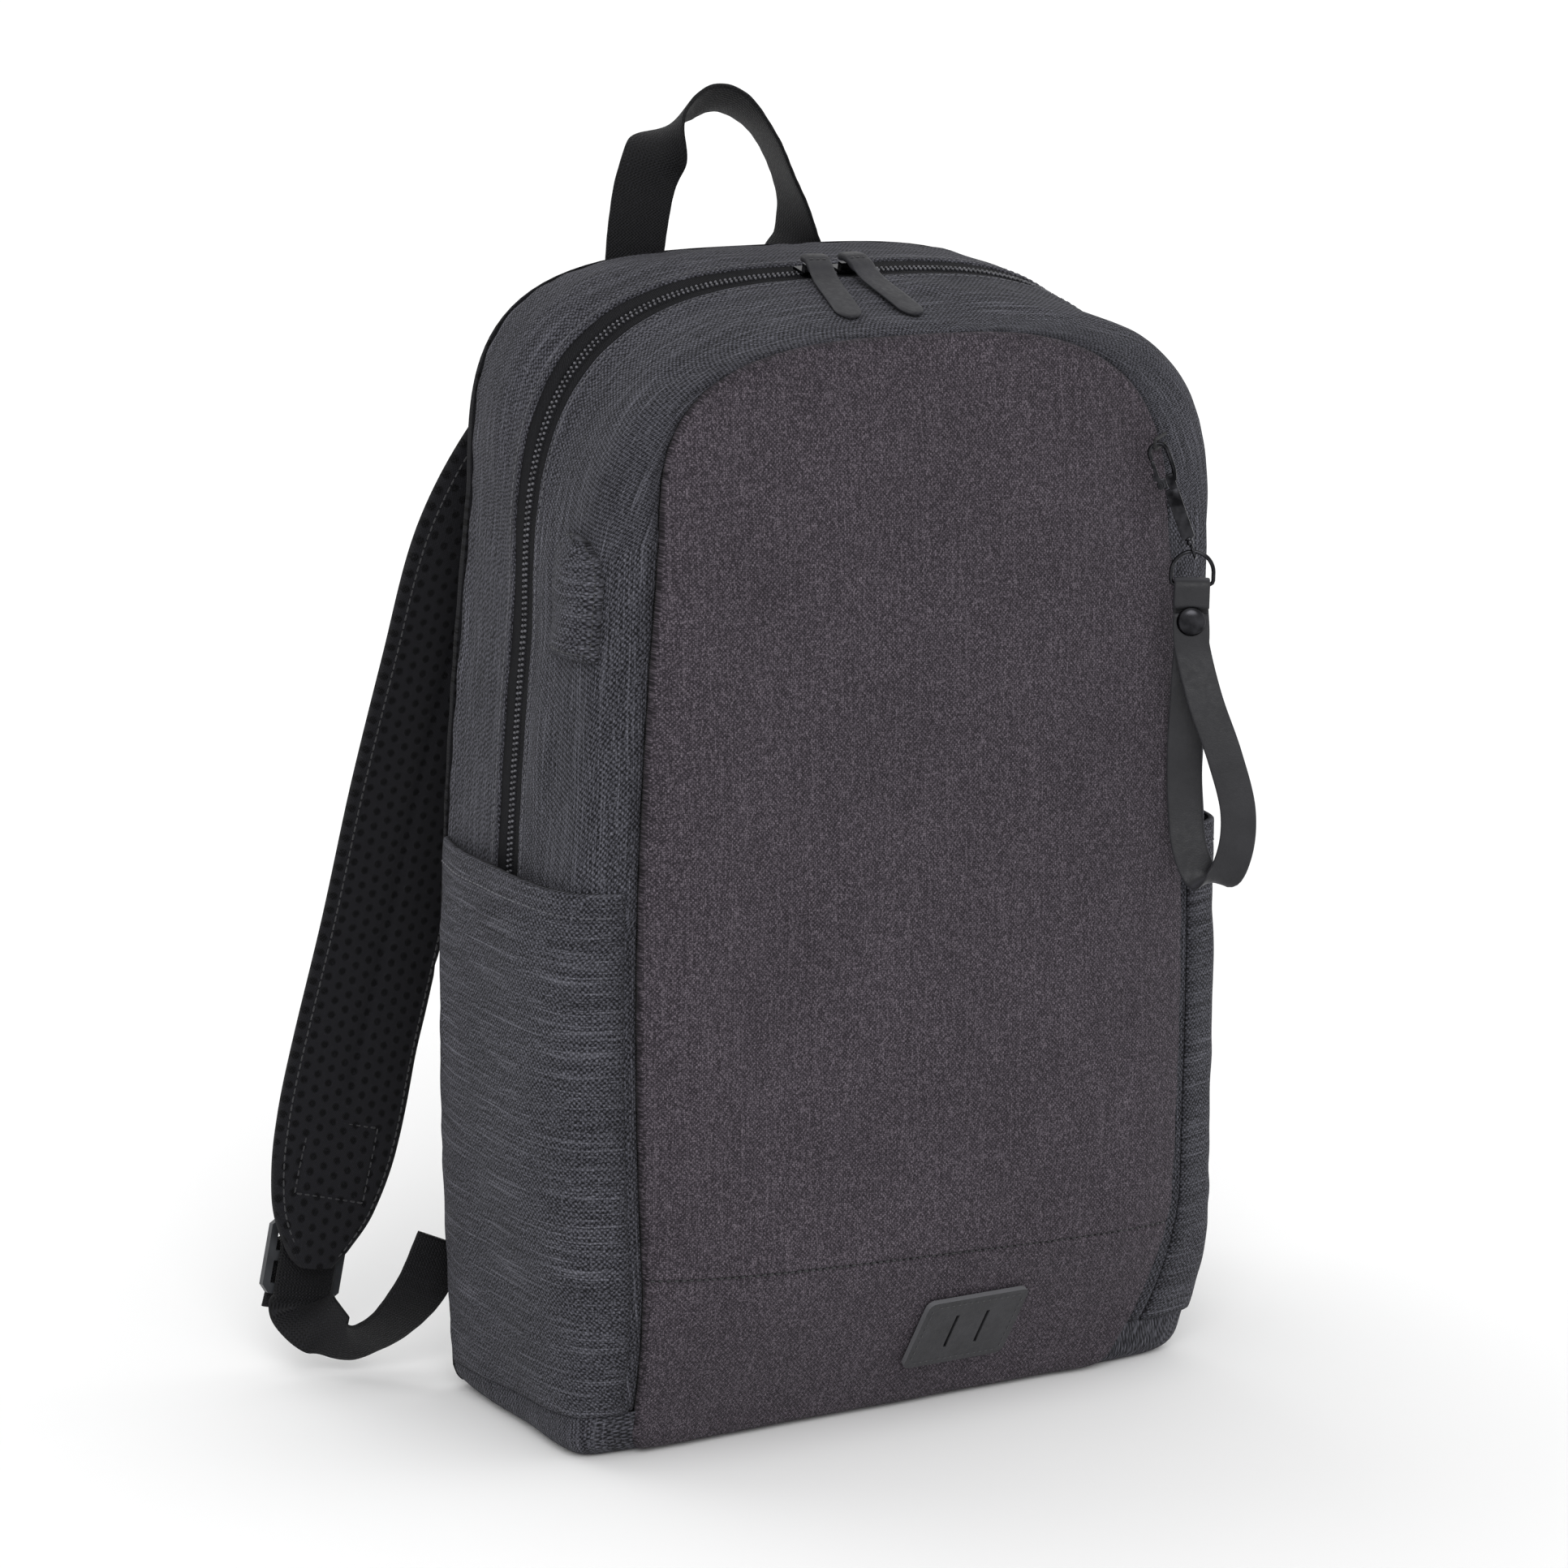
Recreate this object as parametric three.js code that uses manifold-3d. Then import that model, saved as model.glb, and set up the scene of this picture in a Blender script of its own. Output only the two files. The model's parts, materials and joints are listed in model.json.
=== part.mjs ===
// Stuffed laptop backpack standing on its base, as an assembly of sewn pieces.
// Millimetres, +Z up. X points right seen from the front, Y points to the wearer's back, and the
// origin is on the floor under the middle of the bag.
import * as THREE from 'three';
import { mergeVertices } from 'three/addons/utils/BufferGeometryUtils.js';
import Module from 'manifold-3d';

const wasm = await Module();
wasm.setup();

// Driving dimensions: the bag's body
const BAG_WIDTH = 266; // between the back seams, at the base
const BAG_DEPTH = 124; // back seam to front seam, at the base
const BAG_HEIGHT = 442; // top of the back seam
const SIDE_BOW = 9.8; // how far the stuffed sides swell
const BOW_HEIGHT = 380; // the swelling ends at this height
const SIDE_TAPER = 7.6; // each side is this much narrower at the top
const FRONT_LEAN = 15; // the front seam leans back this far over the height
const FOOT_HEIGHT = 76; // below this the front rolls under
const FOOT_BACK = 23.5; // how far back the front edge of the base lies
const FOOT_IN = 7.6; // how far the front seams run inward at the foot
const FOOT_SWAY = -5.2; // and how far the foot's front sits to one side
const FOOT_POWER = 10; // both fade out this fast towards the back
const SHOULDER_SLACK = 5; // the front's right shoulder is slacker than the left
const RIGHT_FULL = 6.5; // and the right gusset fuller near the top
const RIGHT_FULL_FROM = 242; // the fullness grows from this far below the top
const RIGHT_FULL_TO = 112; // and is whole this far below it
const RIGHT_FOOT_FULL = 9; // the right gusset's fullness near the foot
const FOOT_FULL_FROM = 120; // which grows from this height
const FOOT_FULL_TO = 20; // and is whole at this one
const RIGHT_SHOULDER_FULL = 4; // and at the right shoulder
const FULL_PEAK = 0.55; // greatest value of the fullness's curve from back to front
const BASE_ROUND = 10; // rounding between sides and base
const TOE_ROUND = 6; // rounding between front and base
const WALL = 2.4; // lined and foamed fabric
const GAP = 0.3; // between pieces that touch
const FRONT_PILLOW = 9; // how far the front panel swells
const BACK_EDGE = 3; // padded back at its edge
const BACK_PAD = 8; // extra thickness of the padded back
const BAND_HEIGHT = 70; // seam of the lower front band
const BAND_TILT = -5.5; // its seam drops this far from the middle to the right
const BASE_SEAM_BACK = 12; // height of the base seam at the back
const BASE_SEAM_FRONT = 20; // and at the front

// Main zip
const ZIP_PLACE = 56.4; // coil's middle, from the back seam
const ZIP_END = 192; // the zip's lower ends, behind the pocket hems
const COIL_WIDTH = 6.6;
const COIL_THICK = 2.2;
const TAPE_REAR = 6.4; // tape that shows behind the coil
const TAPE_FRONT = 3.4; // tape that shows before the coil
const TAPE_THICK = 1;
const SLIDER_LENGTH = 11;
const SLIDER_WIDTH = 8;
const SLIDER_THICK = 3.2;
const SLIDER_LEFT_X = -13;
const SLIDER_RIGHT_X = 3;
const TAB_WIDTH = 10.5;
const TAB_THICK = 1.8;
const TAB_LENGTH = 55;
const TAB_TURN_LEFT = -11; // degrees from straight ahead
const TAB_TURN_RIGHT = 2;

// Side pockets
const HEM_HEIGHT = 222;
const POCKET_WALL = 1.6;
const POCKET_SWELL = 8.4; // how far the pocket stands off at its fullest
const POCKET_MOUTH = 6.4; // and at the middle of its hem

// Cable port cover on the left front gusset
const COVER_BOTTOM = 306;
const COVER_TOP = 352;
const COVER_RISE = 6; // at its open edge
const COVER_EDGE = 1.6; // at its sewn edges

// Lash patch on the lower band
const PATCH_WIDTH = 46;
const PATCH_HEIGHT = 32;
const PATCH_THICK = 2.2;
const PATCH_CORNER = 3.5;
const PATCH_SLANT = 3.6;
const PATCH_X = 23.5;
const PATCH_Z = 36;
const SLOT_LENGTH = 16;
const SLOT_WIDTH = 1.6;
const SLOT_SPACING = 14;

// Webbing, handle and shoulder straps
const WEBBING_WIDTH = 25;
const WEBBING_THICK = 1.8;
const HANDLE_RISE = 62; // top of the grab handle above the back seam
const HANDLE_X = -19; // the handle's middle
const HANDLE_SPAN = 72; // between the middles of its legs
const STRAP_WIDTH = 54;
const STRAP_THICK = 9;
const STRAP_TOP_X = 58; // middle of a strap where it is sewn on
const STRAP_SPREAD = 111; // how much further out its lower end hangs
const STRAP_LENGTH = 378; // height that the padded strap spans
const STRAP_BELLY = 40; // how far it stands off the back
const BUCKLE_WIDTH = 34;
const BUCKLE_HEIGHT = 30;
const BUCKLE_THICK = 3;
const BUCKLE_BAR = 4;
const BUCKLE_CHAMFER = 3;
const BUCKLE_FOOT = 3.6; // the top bar's step towards the strap

// Clip, ring and wrist strap at the right front seam
const CLIP_X = 106.5; // middle of the flat body
const CLIP_Y = -67;
const CLIP_DROP = 91; // its middle below the top of the bag
const CLIP_Z = BAG_HEIGHT - CLIP_DROP;
const CLIP_WIDTH = 5.2;
const CLIP_LENGTH = 26;
const CLIP_THICK = 2.2;
const CLIP_LEAN = 21; // degrees from upright
const HOOK_WIRE = 1.7;
const HOOK_WIDTH = 7;
const GATE_WIDTH = 1.6;
const EYE_HOLE = 1.9;
const EYE_WALL = 1.1;
const RING_WIRE = 1.6;
const RING_WIDTH = 17.8;
const WRIST_WIDTH = 13.6;
const WRIST_THICK = 1.6;
const WRIST_LENGTH = 116; // hanging length under the ring
const RIVET_RADIUS = 5.6;
const RIVET_DOME = 2.2;
const FACE_TURN = 32; // degrees: the hanging strap's face turns this far to the left

const HALF_DEPTH = BAG_DEPTH / 2;
const HALF_WIDTH = BAG_WIDTH / 2;
const V = (x, y, z) => new THREE.Vector3(x, y, z);
const { lerp, clamp, smoothstep, degToRad } = THREE.MathUtils;

// Sections of the bag from the back seam (depth 0) to the front seam (depth 1). width is a share
// of half the bag's width; top and shoulder are shares of its height; square is the exponent of
// the rounded shoulders.
const SECTIONS = [
  { depth: 0.0, width: 1.0, top: 1.0, shoulder: 0.196, square: 3.6 },
  { depth: 0.2, width: 1.018, top: 1.002, shoulder: 0.23, square: 3.4 },
  { depth: 0.46, width: 1.02, top: 0.989, shoulder: 0.28, square: 3.2 },
  { depth: 0.7, width: 1.035, top: 0.976, shoulder: 0.255, square: 2.9 },
  { depth: 0.87, width: 1.028, top: 0.963, shoulder: 0.205, square: 2.9 },
  { depth: 0.95, width: 0.985, top: 0.956, shoulder: 0.175, square: 2.9 },
  { depth: 1.0, width: 0.868, top: 0.95, shoulder: 0.156, square: 3.06 },
];

// Value of one column of a table at a place along it, on a smooth curve through the rows.
function along(table, key, column, at) {
  const last = table.length - 1;
  const place = clamp(at, table[0][key], table[last][key]);
  let i = 0;
  while (i < last - 1 && place > table[i + 1][key]) i += 1;
  const a = table[i];
  const b = table[i + 1];
  const before = table[Math.max(i - 1, 0)];
  const after = table[Math.min(i + 2, last)];
  const span = b[key] - a[key];
  const slopeA = ((b[column] - before[column]) / (b[key] - before[key])) * span;
  const slopeB = ((after[column] - a[column]) / (after[key] - a[key])) * span;
  const t = (place - a[key]) / span;
  const rise = b[column] - a[column];
  return a[column] + slopeA * t + (3 * rise - 2 * slopeA - slopeB) * t * t
    + (slopeA + slopeB - 2 * rise) * t * t * t;
}

const footShare = (z) => clamp(1 - z / FOOT_HEIGHT, 0, 1) ** 1.6;

function roundInset(z, radius) {
  const rest = clamp(radius - z, 0, radius);
  return radius - Math.sqrt(radius * radius - rest * rest);
}

// Half the bag's width at a depth share and a height.
function halfWidth(depth, z) {
  const swell = SIDE_BOW * Math.sin(Math.PI * clamp(z / BOW_HEIGHT, 0, 1));
  const foot = FOOT_IN * footShare(z) * depth ** FOOT_POWER;
  return along(SECTIONS, 'depth', 'width', depth) * HALF_WIDTH
    - SIDE_TAPER * (z / BAG_HEIGHT) + swell - foot - roundInset(z, BASE_ROUND);
}

// How far the front of the foot lies to the right at a depth share and a height.
const sway = (depth, z) => FOOT_SWAY * footShare(z) * depth ** FOOT_POWER;

const fullShare = (depth) => (depth ** 2 * (1 - depth ** FOOT_POWER)) / FULL_PEAK;

// How much fuller the right side is: most of all behind the front seam, at the top and the foot.
function fuller(depth, z) {
  const high = smoothstep(z, BAG_HEIGHT - RIGHT_FULL_FROM, BAG_HEIGHT - RIGHT_FULL_TO);
  const low = 1 - smoothstep(z, FOOT_FULL_TO, FOOT_FULL_FROM);
  return fullShare(depth) * (RIGHT_FULL * high + RIGHT_FOOT_FULL * low);
}

// Y of the skin at a depth share and a height.
function depthAt(depth, z) {
  const lean = depth ** 2 * FRONT_LEAN * (z / BAG_HEIGHT);
  const foot = depth ** 4 * (FOOT_BACK * footShare(z) + roundInset(z, TOE_ROUND));
  return HALF_DEPTH - depth * BAG_DEPTH + lean + foot;
}

const baseSeam = (depth) => lerp(BASE_SEAM_BACK, BASE_SEAM_FRONT, depth);

function shoulderAt(depth) {
  const top = along(SECTIONS, 'depth', 'top', depth) * BAG_HEIGHT;
  const drop = along(SECTIONS, 'depth', 'shoulder', depth) * BAG_HEIGHT;
  const square = along(SECTIONS, 'depth', 'square', depth);
  return { top, drop, square, start: top - drop };
}

// Point of the rounded top of a section, at an angle from 0 (left) to PI (right).
function crownPoint(depth, angle) {
  const { drop, square, start } = shoulderAt(depth);
  const c = Math.cos(angle);
  const s = Math.sin(angle);
  const r = (Math.abs(c) ** square + Math.abs(s) ** square) ** (-1 / square);
  const corner = c < 0 ? (2 * s * c) ** 2 : 0;
  const stuffed = RIGHT_SHOULDER_FULL * fullShare(depth) * corner;
  const z = start + drop * r * s + stuffed / 2;
  const slack = SHOULDER_SLACK * depth ** FOOT_POWER * corner;
  const right = c < 0 ? fuller(depth, start) * r * -c + stuffed - slack : 0;
  return V(right - halfWidth(depth, start) * r * c, depthAt(depth, z), z);
}

// Point of the bag's skin. way runs 0 to 1 up the left side, 1 to 2 over the top and 2 to 3 down
// the right side.
function skinPoint(depth, way) {
  if (way > 1 && way < 2) return crownPoint(depth, (way - 1) * Math.PI);
  const side = way <= 1 ? -1 : 1;
  const z = lerp(baseSeam(depth), shoulderAt(depth).start, way <= 1 ? way : 3 - way);
  const right = side > 0 ? fuller(depth, z) : 0;
  return V(side * halfWidth(depth, z) + sway(depth, z) + right, depthAt(depth, z), z);
}

// Outward direction of the skin.
function skinNormal(depth, way) {
  const step = 0.004;
  const d0 = Math.max(depth - step, 0);
  const d1 = Math.min(depth + step, 1);
  const w0 = Math.max(way - step, 0);
  const w1 = Math.min(way + step, 3);
  const across = skinPoint(d1, way).sub(skinPoint(d0, way));
  const up = skinPoint(depth, w1).sub(skinPoint(depth, w0));
  return across.cross(up).normalize();
}

const lifted = (depth, way, lift) => skinPoint(depth, way).addScaledVector(skinNormal(depth, way), lift);

// way of a height on the left side, at a depth share.
const wayOfHeight = (depth, z) => (z - baseSeam(depth)) / (shoulderAt(depth).start - baseSeam(depth));

const range = (count, make) => Array.from({ length: count + 1 }, (_, i) => make(i / count));

// Turns lists of points and faces into a geometry with its faces pointing out.
function toGeometry(points, faces) {
  const geometry = new THREE.BufferGeometry();
  const triangles = [];
  for (const face of faces) {
    for (let i = 2; i < face.length; i += 1) triangles.push([face[0], face[i - 1], face[i]]);
  }
  let volume = 0;
  for (const [a, b, c] of triangles) {
    volume += points[a].dot(points[b].clone().cross(points[c]));
  }
  const order = volume > 0 ? (t) => t : (t) => [t[0], t[2], t[1]];
  geometry.setAttribute('position', new THREE.Float32BufferAttribute(points.flatMap((p) => p.toArray()), 3));
  geometry.setIndex(triangles.flatMap(order));
  return geometry;
}

// Closed shell between an outer and an inner grid of points.
function shell(outer, inner) {
  const rows = outer.length;
  const columns = outer[0].length;
  const points = [...outer.flat(), ...inner.flat()];
  const at = (side, i, j) => side * rows * columns + i * columns + j;
  const faces = [];
  for (let i = 0; i < rows - 1; i += 1) {
    for (let j = 0; j < columns - 1; j += 1) {
      faces.push([at(0, i, j), at(0, i, j + 1), at(0, i + 1, j + 1), at(0, i + 1, j)]);
      faces.push([at(1, i, j), at(1, i + 1, j), at(1, i + 1, j + 1), at(1, i, j + 1)]);
    }
  }
  for (let j = 0; j < columns - 1; j += 1) {
    faces.push([at(0, 0, j), at(1, 0, j), at(1, 0, j + 1), at(0, 0, j + 1)]);
    const last = rows - 1;
    faces.push([at(0, last, j), at(0, last, j + 1), at(1, last, j + 1), at(1, last, j)]);
  }
  for (let i = 0; i < rows - 1; i += 1) {
    faces.push([at(0, i, 0), at(0, i + 1, 0), at(1, i + 1, 0), at(1, i, 0)]);
    const edge = columns - 1;
    faces.push([at(0, i, edge), at(1, i, edge), at(1, i + 1, edge), at(0, i + 1, edge)]);
  }
  return toGeometry(points, faces);
}

// Solid through rings of points, with flat ends or joined to itself.
function loft(rings, closed = false) {
  const n = rings[0].length;
  const faces = [];
  const count = closed ? rings.length : rings.length - 1;
  for (let i = 0; i < count; i += 1) {
    const next = ((i + 1) % rings.length) * n;
    for (let j = 0; j < n; j += 1) {
      const k = (j + 1) % n;
      faces.push([i * n + j, i * n + k, next + k, next + j]);
    }
  }
  if (!closed) {
    faces.push(range(n - 1, (t) => Math.round((1 - t) * (n - 1))));
    faces.push(range(n - 1, (t) => (rings.length - 1) * n + Math.round(t * (n - 1))));
  }
  return toGeometry(rings.flat(), faces);
}

// Flat or padded band along a route. Each stop has its place and the direction of its width.
function band(stops, width, thick, corner = 0) {
  const places = stops.map((s) => s.place);
  const rings = stops.map((stop, i) => {
    const ahead = places[Math.min(i + 1, places.length - 1)].clone();
    const run = ahead.sub(places[Math.max(i - 1, 0)]).normalize();
    const side = stop.side.clone().addScaledVector(run, -stop.side.dot(run)).normalize();
    const face = run.clone().cross(side);
    const w = (stop.width ?? width) / 2;
    const t = (stop.thick ?? thick) / 2;
    const c = Math.min(corner, t * 0.8);
    const outline = c > 0
      ? [[w, t - c], [w - c, t], [c - w, t], [-w, t - c], [-w, c - t], [c - w, -t], [w - c, -t], [w, c - t]]
      : [[w, t], [-w, t], [-w, -t], [w, -t]];
    return outline.map(([a, b]) => stop.place.clone().addScaledVector(side, a).addScaledVector(face, b));
  });
  return loft(rings);
}

// Evenly spaced stops on a smooth route through a few chosen ones.
function smoothStops(stops, count) {
  const placeCurve = new THREE.CatmullRomCurve3(stops.map((s) => s.place));
  const sideCurve = new THREE.CatmullRomCurve3(stops.map((s) => s.side));
  return range(count, (t) => ({ place: placeCurve.getPoint(t), side: sideCurve.getPoint(t).normalize() }));
}

function asManifold(geometry) {
  const bare = geometry.index ? geometry.clone() : geometry;
  bare.deleteAttribute('normal');
  bare.deleteAttribute('uv');
  const merged = mergeVertices(bare, 1e-4);
  return new wasm.Manifold(new wasm.Mesh({
    numProp: 3,
    vertProperties: new Float32Array(merged.attributes.position.array),
    triVerts: new Uint32Array(merged.index.array),
  }));
}

function fromManifold(solid) {
  const mesh = solid.getMesh();
  const geometry = new THREE.BufferGeometry();
  geometry.setAttribute('position', new THREE.Float32BufferAttribute(mesh.vertProperties, 3));
  geometry.setIndex([...mesh.triVerts]);
  return geometry;
}

const extruded = (shape, depth) => new THREE.ExtrudeGeometry(shape, { depth, bevelEnabled: false });
const join = (...parts) => fromManifold(parts.map(asManifold).reduce((a, b) => a.add(b)));

const COLOURS = {
  heather: [0x46464b, 0.9, 0],
  melange: [0x4a444a, 0.85, 0],
  mesh: [0x1c1c1f, 0.95, 0],
  webbing: [0x18181a, 0.85, 0],
  rubber: [0x3b3c41, 0.6, 0],
  plastic: [0x2a2b2e, 0.5, 0],
  metal: [0x2b2b2e, 0.3, 0.9],
};
const bag = new THREE.Group();

function add(name, kind, geometry) {
  const [color, roughness, metalness] = COLOURS[kind];
  const mesh = new THREE.Mesh(geometry, new THREE.MeshStandardMaterial({ color, roughness, metalness }));
  mesh.name = name;
  bag.add(mesh);
  return mesh;
}

// Gussets and the zip: strips that run up the left side, over the top and down the right side
const ZIP_DEPTH = ZIP_PLACE / BAG_DEPTH;
const REAR_EDGE = ZIP_DEPTH - (COIL_WIDTH / 2 + TAPE_REAR + 2 * GAP) / BAG_DEPTH;
const FRONT_EDGE = ZIP_DEPTH + (COIL_WIDTH / 2 + TAPE_FRONT + 2 * GAP) / BAG_DEPTH;
const ZIP_WAY = wayOfHeight(ZIP_DEPTH, ZIP_END);
const ZIP_RUNOUT = 9; // below the zip's ends the gussets close over this height

function archWays(from) {
  const sideWays = range(4, (t) => lerp(from, 1, t)).slice(0, -1);
  const crown = range(24, (t) => 1 + t);
  return [...sideWays, ...crown, ...sideWays.map((w) => 3 - w).reverse()];
}

const RUNOUT_WAY = wayOfHeight(ZIP_DEPTH, ZIP_END - ZIP_RUNOUT);
const LOW_WAYS = [0, 0.1, 0.2, 0.32, 0.46, 0.72, 1].map((share) => RUNOUT_WAY * share);
const GUSSET_WAYS = [...LOW_WAYS, ...archWays(ZIP_WAY), ...LOW_WAYS.map((w) => 3 - w).reverse()];

function gusset(shares, openEdge, closedEdge) {
  const grid = (lift) => GUSSET_WAYS.map((way) => {
    const open = way > RUNOUT_WAY && way < 3 - RUNOUT_WAY;
    return shares(open ? openEdge : closedEdge).map((depth) => lifted(depth, way, lift));
  });
  return shell(grid(0), grid(-WALL));
}

const halfGap = GAP / 2 / BAG_DEPTH;
const rearColumns = (edge) => [0, 0.25, 0.5, 0.75, 1].map((t) => edge * t);
const frontColumns = (edge) => [0, 0.3, 0.55, 0.72, 0.82, 0.9, 0.96, 1].map((t) => lerp(edge, 1, t));
add('rear_gusset', 'heather', gusset(rearColumns, REAR_EDGE, ZIP_DEPTH - halfGap));
add('front_gusset', 'heather', gusset(frontColumns, FRONT_EDGE, ZIP_DEPTH + halfGap));

const ZIP_WAYS = archWays(ZIP_WAY + 0.01);
function zipStrip(from, to, top, bottom) {
  const grid = (lift) => ZIP_WAYS.map((way) => [from, to].map((depth) => lifted(depth, way, lift)));
  return shell(grid(top), grid(bottom));
}
const COIL_HALF = COIL_WIDTH / 2 / BAG_DEPTH;
const ZIP_GAP = GAP / BAG_DEPTH;
const TAPE_SINK = 0.7; // the tape lies this far under the fabric's face
const tapeStrip = (from, to) => zipStrip(from + ZIP_GAP, to - ZIP_GAP, -TAPE_SINK, -TAPE_SINK - TAPE_THICK);
add('zip_tape_rear', 'webbing', tapeStrip(REAR_EDGE, ZIP_DEPTH - COIL_HALF));
add('zip_tape_front', 'webbing', tapeStrip(ZIP_DEPTH + COIL_HALF, FRONT_EDGE));
const COIL_PROUD = 0.2;
const coil = zipStrip(ZIP_DEPTH - COIL_HALF, ZIP_DEPTH + COIL_HALF, COIL_PROUD, COIL_PROUD - COIL_THICK);
add('zip_coil', 'webbing', coil);

// Front panel and lower band. across runs -1 to 1 from the left seam to the right seam and up
// runs 0 to 1 from the foot to the top seam.
const FRONT_FOOT = 0.8; // lowest edge of the front
const front = shoulderAt(1);

function frontPlace(across, up) {
  const crown = crownPoint(1, ((across + 1) / 2) * Math.PI);
  const wide = halfWidth(1, front.start);
  const z = lerp(FRONT_FOOT, crown.z, up);
  const share = lerp(across, crown.x / wide, up);
  return { x: share * halfWidth(1, Math.min(z, front.start)) + sway(1, z), z };
}

function frontPillow(across, up, z) {
  return FRONT_PILLOW * (1 - Math.abs(across) ** 3.5) * (1 - up ** 10) * smoothstep(z, 0, FOOT_HEIGHT);
}

// Point of the front's outer face, or behind it by some millimetres.
function frontPoint(across, up, behind = 0) {
  const { x, z } = frontPlace(across, up);
  return V(x, depthAt(1, z) - GAP - WALL - frontPillow(across, up, z) + behind, z);
}

const upOfHeight = (across, z) => (z - FRONT_FOOT) / (frontPlace(across, 1).z - FRONT_FOOT);

// Columns lie closer together at the seams, where the panel's shoulders curve.
const FRONT_ACROSS = range(16, (t) => Math.sin((t - 0.5) * 2.6) / Math.sin(1.3));

function frontPiece(upShares) {
  const column = (across, behind) => upShares(across).map((up) => frontPoint(across, up, behind));
  const grid = (behind) => FRONT_ACROSS.map((across) => column(across, behind));
  return shell(grid(0), grid(WALL));
}

const PANEL_ROWS = 11;
add('front_panel', 'melange', frontPiece((across) => {
  const low = upOfHeight(across, BAND_HEIGHT + BAND_TILT * across + GAP / 2);
  return range(PANEL_ROWS, (t) => lerp(low, 1, t));
}));
const BAND_ROWS = [0, 0.03, 0.1, 0.25, 0.5, 0.75, 1];
add('front_lower_band', 'melange', frontPiece((across) => {
  const high = upOfHeight(across, BAND_HEIGHT + BAND_TILT * across - GAP / 2);
  return BAND_ROWS.map((t) => high * t);
}));

// Padded back panel over the whole back
const BACK_FOOT = 2.5;
const back = shoulderAt(0);

function backPlace(across, up) {
  const crown = crownPoint(0, ((across + 1) / 2) * Math.PI);
  const z = lerp(BACK_FOOT, crown.z, up);
  const share = lerp(across, crown.x / halfWidth(0, back.start), up);
  return { x: share * halfWidth(0, Math.min(z, back.start)), z };
}

function backPad(across, up) {
  const channel = 1 - 0.55 * Math.exp(-((across / 0.14) ** 2)) * smoothstep(up, 0.05, 0.3);
  return BACK_PAD * (1 - Math.abs(across) ** 5) * (1 - up ** 12) * (1 - (1 - up) ** 14) * channel;
}

function backPoint(across, up, proud) {
  const { x, z } = backPlace(across, up);
  return V(x, HALF_DEPTH + GAP + (proud ? BACK_EDGE + backPad(across, up) : 0), z);
}

const BACK_ACROSS = range(14, (t) => Math.sin((t - 0.5) * 2.6) / Math.sin(1.3));
const BACK_UP = [0, 0.04, 0.12, 0.3, 0.5, 0.7, 0.84, 0.92, 0.97, 1];
const backGrid = (proud) => BACK_ACROSS.map((across) => BACK_UP.map((up) => backPoint(across, up, proud)));
add('back_panel', 'mesh', shell(backGrid(true), backGrid(false)));

// Y of the back panel's outer face at a place on it.
function backFaceY(x, z) {
  const across = clamp(x / halfWidth(0, Math.min(z, back.start)), -1, 1);
  const up = clamp((z - BACK_FOOT) / (back.top - BACK_FOOT), 0, 1);
  return HALF_DEPTH + GAP + BACK_EDGE + backPad(across, up);
}

// Base: a flat floor turned up at both sides
const BASE_DROPS = [1, 0.7, 0.42, 0.22, 0.08, 0];
const BASE_ACROSS = [-0.5, 0, 0.5];
function baseGrid(lift) {
  return range(7, (depth) => {
    const rise = baseSeam(depth) - GAP;
    const left = BASE_DROPS.map((share) => V(-halfWidth(depth, share * rise), 0, share * rise));
    const flat = BASE_ACROSS.map((share) => V(share * halfWidth(depth, 0), 0, 0));
    const right = left.map((p) => V(-p.x, 0, p.z)).reverse();
    const line = [...left, ...flat, ...right];
    return line.map((p, i) => {
      const right = p.x > 0 ? (p.x / halfWidth(depth, p.z)) * fuller(depth, p.z) : 0;
      const base = V(p.x + sway(depth, p.z) + right, depthAt(depth, p.z), p.z);
      if (i === 0) return base.addScaledVector(skinNormal(depth, 0), -lift);
      if (i === line.length - 1) return base.addScaledVector(skinNormal(depth, 3), -lift);
      const flatPart = i >= left.length - 1 && i <= left.length + flat.length;
      const run = line[i + 1].clone().sub(line[i - 1]);
      const inward = flatPart ? V(0, 0, 1) : V(-run.z, 0, run.x).normalize();
      return base.addScaledVector(inward, lift);
    });
  });
}
add('bottom_panel', 'heather', shell(baseGrid(0), baseGrid(WALL)));

// Side pockets over the lower half of both sides
const POCKET_SHARES = { back: 0.015, front: 0.985 };
// The pocket follows the gussets' own columns and rows, so that its flat faces clear theirs.
const POCKET_COLUMNS = [
  POCKET_SHARES.back,
  ...rearColumns(ZIP_DEPTH - halfGap).slice(1),
  ...frontColumns(ZIP_DEPTH + halfGap).slice(1, -1),
  POCKET_SHARES.front,
];
const POCKET_WAYS = [...LOW_WAYS, ZIP_WAY];

function pocketLift(depth, up) {
  const across = Math.sin(Math.PI * clamp((depth - 0.02) / 0.94, 0, 1)) ** 0.7;
  const mouth = POCKET_MOUTH / POCKET_SWELL;
  const swell = up < 0.5 ? Math.sin(Math.PI * up) ** 0.8 : lerp(1, mouth, smoothstep(up, 0.5, 1));
  return POCKET_SWELL * across * swell;
}

function pocketSolid(side) {
  const grid = (extra) => POCKET_COLUMNS.map((depth) => {
    const top = wayOfHeight(depth, HEM_HEIGHT);
    return [...POCKET_WAYS, top].map((way) => {
      const lift = GAP + extra + pocketLift(depth, way / top);
      return lifted(depth, side < 0 ? way : 3 - way, lift);
    });
  });
  return shell(grid(POCKET_WALL), grid(0));
}
add('side_pocket_left', 'heather', pocketSolid(-1));
add('side_pocket_right', 'heather', pocketSolid(1));

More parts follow.
